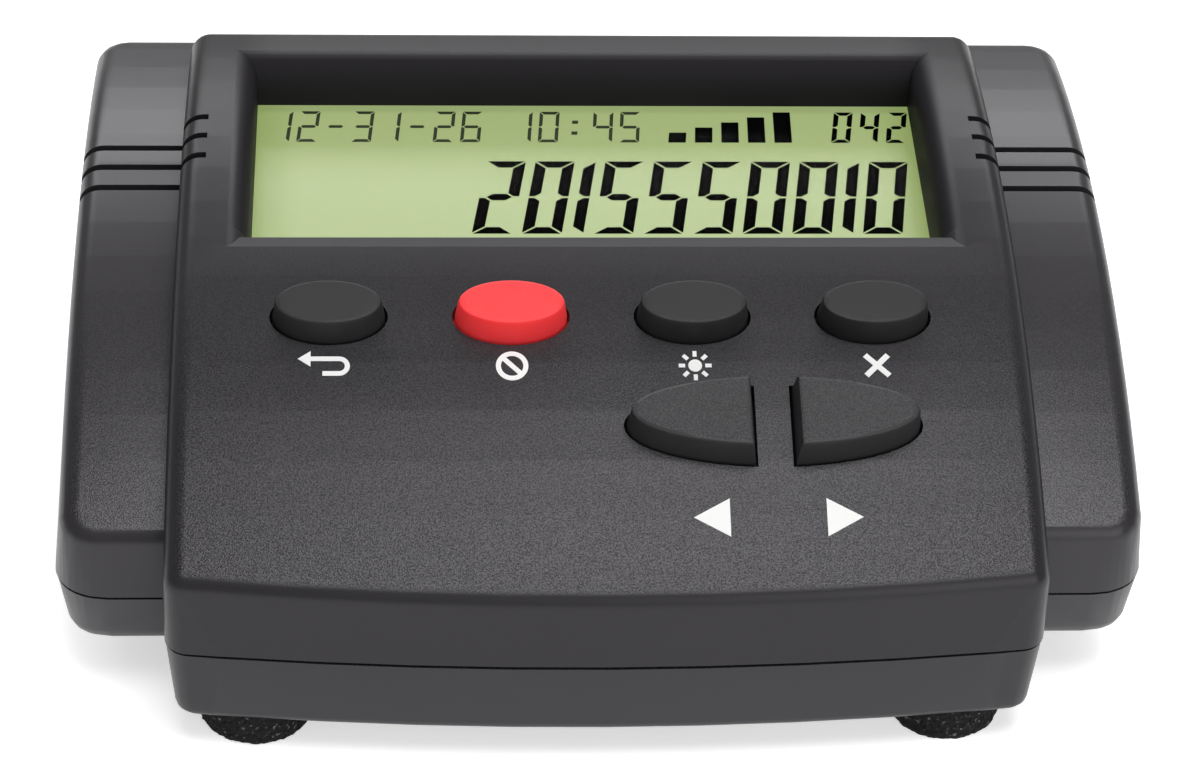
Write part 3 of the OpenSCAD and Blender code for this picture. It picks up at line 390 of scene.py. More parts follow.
def grained(name, color, roughness, contrast, depth):
    """Dark plastic: spark-eroded grain on the faces that look up, nearly smooth on the steep ones, with
    painted light and shade: lighter, glossier wings, a darker core whose gloss changes along it, and
    lighter, duller window walls.
    """
    material, tree, shader = new_material(name)
    coords = object_space(tree)
    grain = noise_of(tree, 1 / GRAIN_SIZE, PLAIN_DETAIL, coords)
    slow = noise_of(tree, SLOW_SCALE, PLAIN_DETAIL, coords)
    wing = on_wing(tree, coords)
    wall = in_window(tree, coords)
    top = multiplied(tree, facing_up(tree), towards_front(tree, coords))
    change = spread(tree, grain, -contrast, contrast, GRAIN_LOW, GRAIN_HIGH)
    factor = combined(tree, "ADD", multiplied(tree, change, top), 1)
    # Painted light and shade: a darker base colour on the core and a lighter one on the wings
    bright = between(tree, wing, CORE_PAINTED_SHADE, WING_PAINTED_LIGHT)
    # Painted light on the walls of the sunk window: a lighter base colour
    bright = multiplied(tree, bright, between(tree, wall, 1, WALL_PAINTED_LIGHT))
    scaled = tree.nodes.new("ShaderNodeVectorMath")
    scaled.operation = "SCALE"
    tree.links.new(wandering(tree, slow, color, SHADE_CHANGE), scaled.inputs["Vector"])
    tree.links.new(multiplied(tree, factor, bright), scaled.inputs["Scale"])
    tree.links.new(scaled.outputs["Vector"], shader.inputs["Base Color"])
    # Painted shade on the walls of the sunk window: less gloss, so that they reflect less
    gloss = between(tree, wall, GLOSS, WALL_SHADE_GLOSS * GLOSS)
    # Painted sheen and shade: gloss that changes along the core and is higher on the wings
    sheen = multiplied(tree, sheen_along(tree, coords, wing), gloss)
    tree.links.new(multiplied(tree, factor, sheen), shader.inputs["Specular IOR Level"])
    shader.inputs["Specular Tint"].default_value = GLOSS_TINT
    rough = spread(tree, grain, roughness - GRAIN_ROUGH, roughness + GRAIN_ROUGH)
    rough = combined(tree, "ADD", rough, multiplied(tree, wall, WALL_ROUGH))
    tree.links.new(rough, shader.inputs["Roughness"])
    relief = multiplied(tree, grain, between(tree, top, BUMP_LEAST, 1))
    add_bump(tree, relief, shader, depth)
    return material


def foam_material():
    """Black foam rubber with open pores and pale specks."""
    material, tree, shader = new_material("foot_foam")
    pores = noise_of(tree, 1 / PORE_SIZE, FINE_DETAIL, object_space(tree))
    tree.links.new(color_ramp(tree, pores, FOAM_STOPS), shader.inputs["Base Color"])
    tree.links.new(spread(tree, pores, *FOAM_ROUGH), shader.inputs["Roughness"])
    add_bump(tree, pores, shader, PORE_DEPTH)
    shader.inputs["Specular IOR Level"].default_value = 0.2
    return material


def lcd_material():
    """Pale green display glass, a little darker towards its edges with painted shade of the window's walls,
    and a glow that stands for its backlight and is partly painted light, strong enough to wash out the
    shadow of the back rim.
    """
    material, tree, shader = new_material("lcd_glass")
    coords = object_space(tree)
    aside = from_middle(tree, split_axes(tree, coords))
    fall = soft_step(tree, aside, LCD_EDGE_START, LCD_EDGE_END)
    # Painted shade towards the sides, where the walls of the window stand
    tint = color_ramp(tree, fall, ((0, LCD_COLOR), (1, LCD_EDGE_SHADE_COLOR)))
    tree.links.new(tint, shader.inputs["Base Color"])
    tree.links.new(tint, shader.inputs["Emission Color"])
    # Glow: partly the backlight, partly painted light that washes out the shadow of the back rim
    shader.inputs["Emission Strength"].default_value = LCD_GLOW
    fine = noise_of(tree, LCD_SCALE, PLAIN_DETAIL, coords)
    tree.links.new(spread(tree, fine, *LCD_ROUGH), shader.inputs["Roughness"])
    return material


def lens_material():
    """Clear moulded cover that shows only its gloss."""
    material, tree, shader = new_material("clear_lens")
    fine = noise_of(tree, LENS_SCALE, PLAIN_DETAIL, object_space(tree))
    shader.inputs["Base Color"].default_value = LENS_COLOR
    tree.links.new(spread(tree, fine, *LENS_ROUGH), shader.inputs["Roughness"])
    shader.inputs["Alpha"].default_value = LENS_ALPHA
    return material


# Materials: colour, roughness, then contrast and depth of the grain, or its size and depth
HOUSING = grained("housing_abs", (0.0163, 0.0150, 0.0170), 0.34, 0.42, 0.036 * MM)
# Painted light: the bottom shell gets a lighter copy of the housing plastic, for the light that the floor
# throws up on it
LIT_LOWER_HOUSING = grained("lit_lower_housing_abs", (0.0247, 0.0230, 0.0255), 0.36, 0.4, 0.036 * MM)
ARROW_KEY = grained("arrow_key_abs", (0.0270, 0.0260, 0.0270), 0.48, 0.35, 0.045 * MM)
KEY = moulded("key_abs", (0.0225, 0.0222, 0.0236), 0.50, 0.35 * MM, 0.006 * MM, specular=0.25)
RED_KEY = moulded("red_key_abs", (0.84, 0.045, 0.050), 0.5, 0.35 * MM, 0.006 * MM, specular=0.3)
RED_SHADER = RED_KEY.node_tree.nodes["Principled BSDF"]
RED_SHADER.inputs["Subsurface Weight"].default_value = 0.6
RED_SHADER.inputs["Subsurface Radius"].default_value = (1.0, 0.12, 0.12)
RED_SHADER.inputs["Subsurface Scale"].default_value = 3 * MM
# Painted light: a faint red glow that brightens the key's shaded sides, though the key is no lamp
RED_SHADER.inputs["Emission Color"].default_value = (0.88, 0.03, 0.035, 1)
RED_SHADER.inputs["Emission Strength"].default_value = 0.14
FOOT = foam_material()
MAT = moulded("silicone", (0.16, 0.16, 0.17), 0.6, 0.5 * MM, 0.01 * MM)
LIGHT = moulded("light_guide", (0.80, 0.82, 0.78), 0.3, 0.5 * MM, 0.004 * MM)
BLACK = moulded("black_pbt", (0.022, 0.022, 0.024), 0.45, 0.3 * MM, 0.008 * MM)
BOARD = moulded("board_lacquer", (0.020, 0.130, 0.045), 0.35, 0.8 * MM, 0.01 * MM, 0.15)
STEEL = moulded("zinc_steel", (0.60, 0.60, 0.62), 0.32, 0.4 * MM, 0.006 * MM, 0.08, 1.0)
CHIP = moulded("chip_resin", (0.020, 0.020, 0.022), 0.65, 0.15 * MM, 0.012 * MM)
GOLD = moulded("gold_plate", (0.85, 0.62, 0.22), 0.22, 0.3 * MM, 0.003 * MM, 0.05, 1.0)
RELAY = moulded("relay_case", (0.78, 0.77, 0.70), 0.4, 0.4 * MM, 0.006 * MM)
CAPACITOR = moulded("dipped_resin", (0.50, 0.24, 0.03), 0.25, 1.2 * MM, 0.03 * MM, 0.12)
RIBBON = moulded("flat_cable", (0.62, 0.62, 0.60), 0.5, 1.0 * MM, 0.04 * MM)
CELL = moulded("cell_sleeve", (0.10, 0.11, 0.13), 0.3, 2.0 * MM, 0.01 * MM, 0.1, 0.6)
NICKEL = moulded("nickel_plate", (0.68, 0.67, 0.64), 0.25, 0.4 * MM, 0.004 * MM, 0.06, 1.0)
LCD = lcd_material()
LENS = lens_material()
WHITE_INK = moulded("white_ink", (0.85, 0.85, 0.84), 0.55, 0.2 * MM, 0.006 * MM, 0.03)
DARK_SEGMENT = moulded("dark_segment", (0.001, 0.001, 0.001), 0.8, 0.3 * MM, 0.002 * MM, specular=0.0)
PALE_SEGMENT = moulded("pale_segment", (0.040, 0.052, 0.028), 0.8, 0.3 * MM, 0.002 * MM, specular=0.05)

SLOT_MATERIALS = {
    "housing": HOUSING, "keys": KEY, "red_key": RED_KEY, "feet": FOOT, "mat": MAT, "lens": LENS, "lcd": LCD,
    "light": LIGHT, "holder": BLACK, "board": BOARD, "screw_steel": STEEL, "chip": CHIP,
    "gold_contact": GOLD, "relay": RELAY, "capacitor": CAPACITOR, "ribbon": RIBBON, "cell": CELL,
    "cell_contact": NICKEL,
}
NODE_MATERIALS = {"key_left": ARROW_KEY, "key_right": ARROW_KEY, "bottom_shell": LIT_LOWER_HOUSING}

# Nodes that are reshaped or shaded in a way of their own
SHELLS = ("top_shell", "bottom_shell")
OVAL_KEYS = ("key_back", "key_block", "key_bright", "key_delete")
KEYS = OVAL_KEYS + ("key_left", "key_right")
SMOOTH_ANGLE = math.radians(24)
KEY_NORMAL_WEIGHT = 90


def smooth_group():
    """Geometry nodes that join split corners and shade smooth below an angle."""
    group = bpy.data.node_groups.new("smooth_by_angle", "GeometryNodeTree")
    group.interface.new_socket("Geometry", in_out="INPUT", socket_type="NodeSocketGeometry")
    group.interface.new_socket("Geometry", in_out="OUTPUT", socket_type="NodeSocketGeometry")
    enter = group.nodes.new("NodeGroupInput")
    leave = group.nodes.new("NodeGroupOutput")
    merge = group.nodes.new("GeometryNodeMergeByDistance")
    merge.inputs["Distance"].default_value = MERGE_NEAR
    faces = group.nodes.new("GeometryNodeSetShadeSmooth")
    edges = group.nodes.new("GeometryNodeSetShadeSmooth")
    edges.domain = "EDGE"
    angle = group.nodes.new("GeometryNodeInputMeshEdgeAngle")
    below = group.nodes.new("FunctionNodeCompare")
    below.operation = "LESS_THAN"
    below.inputs["B"].default_value = SMOOTH_ANGLE
    group.links.new(enter.outputs["Geometry"], merge.inputs["Geometry"])
    group.links.new(merge.outputs["Geometry"], faces.inputs["Geometry"])
    group.links.new(faces.outputs["Geometry"], edges.inputs["Geometry"])
    group.links.new(angle.outputs["Unsigned Angle"], below.inputs["A"])
    group.links.new(below.outputs["Result"], edges.inputs["Shade Smooth"])
    group.links.new(edges.outputs["Geometry"], leave.inputs["Geometry"])
    return group


def dress(piece, name, slot, smooth):
    """Gives a piece the material of its node, and smooth shading that keeps the sharp edges."""
    piece.data.materials.clear()
    piece.data.materials.append(NODE_MATERIALS.get(name, SLOT_MATERIALS[slot]))
    modifier = piece.modifiers.new("smooth", "NODES")
    modifier.node_group = smooth
    if name in KEYS:
        weighted = piece.modifiers.new("weighted", "WEIGHTED_NORMAL")
        weighted.weight = KEY_NORMAL_WEIGHT
        weighted.keep_sharp = True


def dress_nodes():
    """Dresses each CAD node, and the reshaped copy that takes its place."""
    smooth = smooth_group()
    for part in frame["record"]["subparts"]:
        name = part["node"]
        slot = part["material_slot"]
        dress(nodes[name], name, slot, smooth)
        if name in SHELLS:
            dress(reshaped(name, "housing", mended, cut_shell), name, slot, smooth)
        if name in OVAL_KEYS:
            dress(reshaped(name, name, lowered), name, slot, smooth)


# Front corners of the core: their radius in the solids, and the tighter one shown at seam and crease
CORE_BOW = 2.9 * MM
SOLID_R = 6.3 * MM
SOLID_STEP = math.radians(15)
SEAM_R = 2.9 * MM
CREASE_R = 2.4 * MM
SEAM_Z = 13.7 * MM
CREASE_Z = 21.59 * MM
FRONT_LEAN = 0.38 * MM
SIDE_LEAN = 0.1 * MM
NEAR = 0.05 * MM
WALL = 1.5 * MM
FLOOR_Z = 5.5 * MM

# Edges that are cut finer there, into how many more, and steps of the search for the outline
LONG_EDGE = 0.7 * MM
EDGE_CUTS = 5
HALVINGS = 40


def front_y(x):
    """Y of the bowed front of the core at x, at its seam."""
    return place_y(CORE_BOW * (x / (CORE_W / 2)) ** 2)


def corner_axis(radius):
    """Middle of a corner of that radius, in plan, at the seam."""
    x = CORE_W / 2 - radius
    return Vector((x, front_y(x) + radius))


def in_tight_plan(point, rise):
    """Whether a point of the plan lies within the tighter outline, from seam (0) to crease (1)."""
    point = point + Vector((SIDE_LEAN, -FRONT_LEAN)) * rise
    if point.x > CORE_W / 2 or point.y < front_y(point.x):
        return False
    radius = SEAM_R + (CREASE_R - SEAM_R) * rise
    off = point - corner_axis(radius)
    return off.x < 0 or off.y > 0 or off.length < radius


def tight_reach(angle, rise):
    """Distance of the tighter outline from the solid's corner axis, at an angle in plan."""
    axis = corner_axis(SOLID_R)
    out = Vector((math.cos(angle), math.sin(angle)))
    low = 0
    high = 2 * SOLID_R
    for _ in range(HALVINGS):
        middle = (low + high) / 2
        if in_tight_plan(axis + out * middle, rise):
            low = middle
        else:
            high = middle
    return low


def tightened(place):
    """Place of a point of the shells, with the front corners drawn out to their tighter radius."""
    axis = corner_axis(SOLID_R)
    off = Vector((abs(place.x) - axis.x, place.y - axis.y))
    rise = (place.z - SEAM_Z) / (CREASE_Z - SEAM_Z)
    if off.x <= 0 or off.y >= 0 or rise > 1:
        return place
    angle = math.atan2(off.y, off.x)
    chord = SOLID_R * math.cos(SOLID_STEP / 2) / math.cos(angle % SOLID_STEP - SOLID_STEP / 2)
    if place.z < SEAM_Z - NEAR:
        off *= tight_reach(angle, 0) / chord
    elif off.length > chord - 2 * NEAR:
        off *= max(tight_reach(angle, max(rise, 0)) / off.length, 1)
    return Vector((math.copysign(axis.x + off.x, place.x), axis.y + off.y, place.z))


def in_corner(place):
    """Whether a point lies on the outside of a front corner of the core, below its crease."""
    axis = corner_axis(SOLID_R)
    off = Vector((abs(place.x) - axis.x, place.y - axis.y))
    if off.length < SOLID_R - WALL and place.z > FLOOR_Z:
        return False
    return off.x > -NEAR and off.y < NEAR and place.z < CREASE_Z + NEAR


# Outer front corners of the wings: their radius in the solids, and the larger one shown below the crease
WING_W = 119.2 * MM
WING_D = 12.13 * MM
WING_SOLID_R = 4 * MM
WING_R = 5.8 * MM
WING_CREASE_Z = 20.1 * MM

# How far the wings' sides stand out at the seam in front, and where this starts, across and along
WING_OUT = 0.35 * MM
WING_IN_X = 54 * MM
WING_SIDE_X = 58 * MM
WING_FRONT_D = 16 * MM
WING_BACK_D = 88 * MM


def wing_axis(radius):
    """Middle of a wing's corner of that radius, in plan."""
    return Vector((WING_W / 2 - radius, place_y(WING_D) + radius))


def wing_reach(angle):
    """Distance of the solid's corner from the axis of the larger one, at an angle in plan."""
    out = Vector((math.cos(angle), math.sin(angle)))
    offset = wing_axis(WING_SOLID_R) - wing_axis(WING_R)
    along = out.dot(offset)
    reach = along + math.sqrt(along ** 2 - offset.length_squared + WING_SOLID_R ** 2)
    hit = out * reach - offset
    if hit.x < 0:
        return -WING_R / out.y
    if hit.y > 0:
        return WING_R / out.x
    return reach


def mended(place):
    """Place of a point of the shells, with tighter corners of the core and rounder ones of the wings."""
    if abs(place.x) < CORE_W / 2 + NEAR:
        return tightened(place)
    axis = wing_axis(WING_R)
    off = Vector((abs(place.x) - axis.x, place.y - axis.y))
    share = share_of(place.z, WING_CREASE_Z, SEAM_Z)
    out = WING_OUT * share * share_of(abs(place.x), WING_IN_X, WING_SIDE_X)
    out *= share_of(place.y, place_y(WING_BACK_D), place_y(WING_FRONT_D))
    if off.x > 0 and off.y < 0:
        off *= 1 + (WING_R / wing_reach(math.atan2(off.y, off.x)) - 1) * share
    return Vector((math.copysign(axis.x + off.x + out, place.x), axis.y + off.y, place.z))


def in_wing_corner(place):
    """Whether a point lies at the outer front corner of a wing, below its crease."""
    axis = wing_axis(WING_R)
    return abs(place.x) > axis.x and place.y < axis.y and place.z < WING_CREASE_Z


def cut_wings(made):
    """Gives a shell new corners on the lines where the rounder corners of its wings begin."""
    axis = wing_axis(WING_R)
    cuts = (((axis.x, 0, 0), (1, 0, 0)), ((-axis.x, 0, 0), (1, 0, 0)), ((0, axis.y, 0), (0, 1, 0)))
    for point, across in cuts:
        for face in made.faces:
            face.tag = any(in_wing_corner(vert.co) for vert in face.verts)
        faces = [face for face in made.faces if face.tag]
        edges = [edge for edge in made.edges if any(face.tag for face in edge.link_faces)]
        verts = [vert for vert in made.verts if any(face.tag for face in vert.link_faces)]
        geometry = verts + edges + faces
        bmesh.ops.bisect_plane(made, geom=geometry, dist=CUT_NEAR, plane_co=point, plane_no=across)


def cut_shell(made):
    """Gives a shell the new corners that it needs before its points are moved."""
    cut_wings(made)
    edges = [edge for edge in made.edges
             if edge.calc_length() > LONG_EDGE and all(in_corner(vert.co) for vert in edge.verts)]
    bmesh.ops.subdivide_edges(made, edges=edges, cuts=EDGE_CUTS, use_grid_fill=True)


# Keypad: its middle, the row of oval keys, their height, and how far their tops are drawn in
KEYPAD_D = 26 * MM
ROW_V = 7.2 * MM
KEY_UP = 3.1 * MM
KEY_NARROW = 0.09
KEY_DROP = 0.2 * MM


def lowered(place):
    """Place of a point of an oval key, with a top that is lower and less deep."""
    y = place_y(KEYPAD_D)
    tilt = math.asin((DOME_Y - y) / DOME_R)
    along = Vector((0, math.cos(tilt), math.sin(tilt)))
    out = Vector((0, -math.sin(tilt), math.cos(tilt)))
    off = place - Vector((0, y, dome_z(y)))
    share = share_of(off.dot(out), 0, KEY_UP)
    return place - along * (off.dot(along) - ROW_V) * KEY_NARROW * share - out * KEY_DROP * share


def reshaped(name, body, change, prepare=None):
    """Copy of a node that takes its place, cut by prepare if given, with its points moved by change."""
    made = bmesh.new()
    made.from_mesh(nodes[name].data)
    made.transform(nodes[name].matrix_world)
    bmesh.ops.remove_doubles(made, verts=made.verts, dist=WELD)
    if prepare:
        prepare(made)
    for vert in made.verts:
        vert.co = change(vert.co)
    piece = add_object(name + "_moulding", made)
    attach(piece, body)
    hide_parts(name)
    return piece


# Flat shapes, as lists of outlines in a plane

def bar(start, end, width):
    """Straight stroke."""
    a = Vector(start)
    b = Vector(end)
    along = (b - a).normalized()
    across = Vector((-along.y, along.x)) * width / 2
    return [tuple(a - across), tuple(b - across), tuple(b + across), tuple(a + across)]


def arc_strokes(centre, radius, width, start, end, steps):
    """Round stroke as a run of short outlines, angles in degrees."""
    outlines = []
    inner = radius - width / 2
    outer = radius + width / 2
    for k in range(steps):
        a = math.radians(start + (end - start) * k / steps)
        b = math.radians(start + (end - start) * (k + 1) / steps)
        corners = [(inner, a), (outer, a), (outer, b), (inner, b)]
        outlines.append([(centre[0] + r * math.cos(t), centre[1] + r * math.sin(t)) for r, t in corners])
    return outlines


def moved(outlines, dx, dy, slant=0.0):
    """Outlines shifted, after leaning them by slant per unit of height."""
    return [[(x + slant * y + dx, y + dy) for x, y in outline] for outline in outlines]


def flat_piece(name, outlines, surface, material):
    """Thin piece of outlines laid on a surface function, riding on the housing."""
    made = bmesh.new()
    for outline in outlines:
        made.faces.new([made.verts.new(surface(x, y)) for x, y in outline])
    bmesh.ops.remove_doubles(made, verts=made.verts, dist=WELD)
    lower = bmesh.ops.extrude_face_region(made, geom=made.faces[:])["geom"]
    for item in lower:
        if isinstance(item, bmesh.types.BMVert):
            item.co.z -= PRINT_THICK
    bmesh.ops.recalc_face_normals(made, faces=made.faces)
    piece = add_object(name, made)
    piece.data.materials.append(material)
    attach(piece, "housing")


# Foam feet: size and places, rings of corners, and how far their rims lie in
FOOT_R = 6.2 * MM
FOOT_TOP = 4.5 * MM
FOOT_X = 38 * MM
FOOT_DS = (9.6 * MM, 83.4 * MM)
RING_CORNERS = 120
FOOT_ROWS = 9
RIM_IN = 0.2 * MM
SOLE_IN = 0.5 * MM

# Torn edge of the foam: heights of its waves, and their scales in features per metre
COARSE_WAVE = 0.16 * MM
COARSE_SCALE = 700
FINE_WAVE = 0.2 * MM
FINE_SCALE = 2300
LIFT_WAVE = 0.12 * MM
LIFT_SCALE = 1700
LIFT_SHIFT = Vector((3, 5, 7))


def foam_ring(made, centre, z, radius):
    """Ragged ring of corners round a foot's axis."""
    ring = []
    for k in range(RING_CORNERS):
        t = 2 * math.pi * k / RING_CORNERS
        out = Vector((math.cos(t), math.sin(t), 0))
        place = Vector((centre[0], centre[1], z)) + out * radius
        wave = noise.noise(place * COARSE_SCALE) * COARSE_WAVE + noise.noise(place * FINE_SCALE) * FINE_WAVE
        lift = noise.noise(place * LIFT_SCALE + LIFT_SHIFT) * LIFT_WAVE
        place += out * wave
        place.z = min(max(place.z + lift, 0), FOOT_TOP)
        ring.append(made.verts.new(place))
    return ring


def make_feet():
    """Cut foam discs with ragged edges, in place of the plain ones."""
    made = bmesh.new()
    for side in (-1, 1):
        for d in FOOT_DS:
            centre = (side * FOOT_X, place_y(d))
            rings = [foam_ring(made, centre, 0, FOOT_R - SOLE_IN)]
            for k in range(FOOT_ROWS + 1):
                inset = RIM_IN if k in (0, FOOT_ROWS) else 0
                rings.append(foam_ring(made, centre, FOOT_TOP * k / FOOT_ROWS, FOOT_R - inset))
            for low, high in zip(rings, rings[1:]):
                for k in range(RING_CORNERS):
                    n = (k + 1) % RING_CORNERS
                    made.faces.new((low[k], low[n], high[n], high[k]))
            made.faces.new(list(reversed(rings[0])))
            made.faces.new(rings[-1])
    piece = add_object("foam_feet", made)
    piece.data.materials.append(FOOT)
    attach(piece, "housing")
    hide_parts("feet")


# Display segments
SEGMENTS_OF = {
    "0": "abcdef", "1": "bc", "2": "abged", "3": "abgcd", "4": "fgbc", "5": "afgcd", "6": "afgedc",
    "7": "abc", "8": "abcdefg", "9": "abcdfg", "-": "g",
}
SLANT = 0.15
SMALL_SLANT = 0.075

# Rows of digits: the large one's lower left corner, base and height of the small ones, and their left ends
LARGE_LEFT = -13.9 * MM
LARGE_LOW = -9.4 * MM
ROW_LOW = 7.7 * MM
ROW_H = 5.9 * MM
DATE_LEFT = -37.8 * MM
TIME_LEFT = -9.0 * MM
COUNT_LEFT = 29.5 * MM

# Sizes of the digits: their box, the width of upright and level segments, and the gap between segments
LARGE_H = 13.4 * MM
LARGE = {"width": 4.65 * MM, "height": LARGE_H, "upright": 1.35 * MM, "level": 1.15 * MM, "gap": 0.18 * MM}
COUNT = {"width": 2.3 * MM, "height": ROW_H, "upright": 0.62 * MM, "level": 0.6 * MM, "gap": 0.12 * MM}
SMALL = {"width": 2.4 * MM, "height": ROW_H, "upright": 0.42 * MM, "level": 0.5 * MM, "gap": 0.1 * MM}
LARGE_BETWEEN = 1.15 * MM
COUNT_BETWEEN = 1.0 * MM
SMALL_PITCH = 3.25 * MM

# Colon, as shares of a digit's height, width and level segment
COLON_HEIGHTS = (0.3, 0.66)
COLON_LEFT = 0.3
COLON_RIGHT = 0.6
COLON_THICK = 1.2

# Level bars: number, place, width, lean, and shares of the row's height
BAR_COUNT = 5
BAR_LEFT = 9.9 * MM
BAR_PITCH = 3.2 * MM
BAR_W = 2.1 * MM
BAR_LEAN = 0.2 * MM
BAR_LEAST = 0.32
BAR_STEP = 0.17


def segment_outlines(width, height, upright, level, gap):
    """Outlines of the seven segments a to g of a digit that stands on the origin."""
    middle = height / 2
    tip = level / 2
    right = width - upright
    top = height - level
    return {
        "a": [(gap, height), (width - gap, height), (right - gap, top), (upright + gap, top)],
        "d": [(upright + gap, level), (right - gap, level), (width - gap, 0), (gap, 0)],
        "g": [(upright / 2 + gap, middle), (upright + gap, middle - tip), (right - gap, middle - tip),
              (width - upright / 2 - gap, middle), (right - gap, middle + tip),
              (upright + gap, middle + tip)],
        "f": [(0, middle + gap), (upright / 2, middle + gap), (upright, middle + tip + gap),
              (upright, top - gap), (0, height - gap)],
        "e": [(0, gap), (upright, level + gap), (upright, middle - tip - gap),
              (upright / 2, middle - gap), (0, middle - gap)],
        "b": [(width, middle + gap), (width, height - gap), (right, top - gap),
              (right, middle + tip + gap), (width - upright / 2, middle + gap)],
        "c": [(width, gap), (width, middle - gap), (width - upright / 2, middle - gap),
              (right, middle - tip - gap), (right, level + gap)],
    }


def colon_outlines(width, height, level):
    """Two dots in the box of a digit."""
    left = width * COLON_LEFT
    right = width * COLON_RIGHT
    heights = [height * share for share in COLON_HEIGHTS]
    return [bar((left, y), (right, y), level * COLON_THICK) for y in heights]


def digit_row(text, left, low, size, pitch, slant):
    """Outlines of a row of digits of even pitch, with its lower left corner at (left, low)."""
    shapes = segment_outlines(**size)
    outlines = []
    for k, sign in enumerate(text):
        strokes = [shapes[letter] for letter in SEGMENTS_OF.get(sign, "")]
        if sign == ":":
            strokes = colon_outlines(size["width"], size["height"], size["level"])
        outlines += moved(strokes, left + k * pitch, low, slant)
    return outlines


def number_row(text, left, low, size, space, slant):
    """Outlines of a row of digits in which a 1 takes only the room of its stroke."""
    shapes = segment_outlines(**size)
    outlines = []
    x = left
    for sign in text:
        narrow = sign == "1"
        shift = x - (size["width"] - size["upright"] if narrow else 0)
        outlines += moved([shapes[letter] for letter in SEGMENTS_OF[sign]], shift, low, slant)
        x += (size["upright"] if narrow else size["width"]) + space
    return outlines


def make_display():
    """Segments of the display: one large row of digits, and small rows and level bars above it."""
    large = number_row("2015550010", LARGE_LEFT, LARGE_LOW, LARGE, LARGE_BETWEEN, SLANT)
    count = number_row("042", COUNT_LEFT, ROW_LOW, COUNT, COUNT_BETWEEN, SLANT)
    flat_piece("display_digits", large + count, on_lcd, DARK_SEGMENT)
    bars = []
    for k in range(BAR_COUNT):
        left = BAR_LEFT + BAR_PITCH * k
        right = left + BAR_W
        top = ROW_LOW + ROW_H * (BAR_LEAST + BAR_STEP * k)
        bars.append([(left, ROW_LOW), (right, ROW_LOW), (right + BAR_LEAN, top), (left + BAR_LEAN, top)])
    flat_piece("display_bars", bars, on_lcd, DARK_SEGMENT)
    small = digit_row("12-31-26", DATE_LEFT, ROW_LOW, SMALL, SMALL_PITCH, SMALL_SLANT)
    small += digit_row("10:45", TIME_LEFT, ROW_LOW, SMALL, SMALL_PITCH, SMALL_SLANT)
    flat_piece("display_small_digits", small, on_lcd, PALE_SEGMENT)


# Printed signs: their base, height and stroke, and the pieces that their round strokes are made of
SIGN_D = 25.0 * MM
SIGN_H = 3.0 * MM
STROKE = 0.55 * MM
HALF_STEPS = 12
RING_STEPS = 32
DISC_CORNERS = 24
RAYS = 8

# Triangles below the arrow keys: how far base and tip lie from the middle of the two keys, and their height
TRIANGLE_NEAR = 5.2 * MM
TRIANGLE_TIP = 9.1 * MM
TRIANGLE_LOW_D = 7.55 * MM
TRIANGLE_HIGH_D = 11.45 * MM


def back_sign():
    """Arrow that turns back to the left."""
    r = SIGN_H * 0.3
    top = SIGN_H * 0.8
    low = top - 2 * r
    turn_x = 1.2 * MM
    tail_x = -0.6 * MM
    head_x = -1.9 * MM
    stem_x = -2.0 * MM
    tip_x = -3.3 * MM
    head_half = 0.95 * MM
    outlines = [bar((stem_x, top), (turn_x, top), STROKE)]
    outlines += arc_strokes((turn_x, top - r), r, STROKE, 90, -90, HALF_STEPS)
    outlines.append(bar((turn_x, low), (tail_x, low), STROKE))
    outlines.append([(tip_x, top), (head_x, top - head_half), (head_x, top + head_half)])
    return outlines


def stop_sign():
    """Ring with a slanting bar."""
    r = SIGN_H * 0.5
    reach = r * math.cos(math.radians(45))
    outlines = arc_strokes((0, r), r, STROKE, 0, 360, RING_STEPS)
    outlines.append(bar((-reach, r + reach), (reach, r - reach), STROKE))
    return outlines


def light_sign():
    """Small disc with rays."""
    middle = Vector((0, SIGN_H * 0.5))
    core = 0.75 * MM
    ray_start = 1.1 * MM
    ray_end = 1.8 * MM
    angles = [2 * math.pi * k / DISC_CORNERS for k in range(DISC_CORNERS)]
    outlines = [[(core * math.cos(t), middle.y + core * math.sin(t)) for t in angles]]
    for k in range(RAYS):
        t = 2 * math.pi * k / RAYS
        ray = Vector((math.cos(t), math.sin(t)))
        outlines.append(bar(middle + ray * ray_start, middle + ray * ray_end, STROKE * 0.8))
    return outlines


def cross_sign():
    """Two crossed bars."""
    half = SIGN_H * 0.42
    middle = SIGN_H * 0.5
    width = STROKE * 1.15
    return [
        bar((-half, middle - half), (half, middle + half), width),
        bar((-half, middle + half), (half, middle - half), width),
    ]


def make_signs():
    """White prints: one sign below each key of the row, and a triangle below each arrow key."""
    for k, sign in enumerate((back_sign, stop_sign, light_sign, cross_sign)):
        outlines = moved(sign(), KEY_PITCH * (k - 1.5), SIGN_D)
        flat_piece("sign_" + sign.__name__.split("_")[0], outlines, on_dome, WHITE_INK)
    middle_d = (TRIANGLE_LOW_D + TRIANGLE_HIGH_D) / 2
    for name, side in (("left", -1), ("right", 1)):
        base_x = ARROW_X + side * TRIANGLE_NEAR
        tip_x = ARROW_X + side * TRIANGLE_TIP
        triangle = [(base_x, TRIANGLE_LOW_D), (base_x, TRIANGLE_HIGH_D), (tip_x, middle_d)]
        flat_piece("sign_" + name, [triangle], on_dome, WHITE_INK)


# Light and floor
WORLD_LIGHT = 0.33
LAMP_TARGET = Vector((0, 0, 20 * MM))
FLOOR_GLOW = 0.55
FLOOR_COLOR = (0.84, 0.84, 0.84)
FLOOR_CHANGE = 0.005
FLOOR_HALF = 4.0


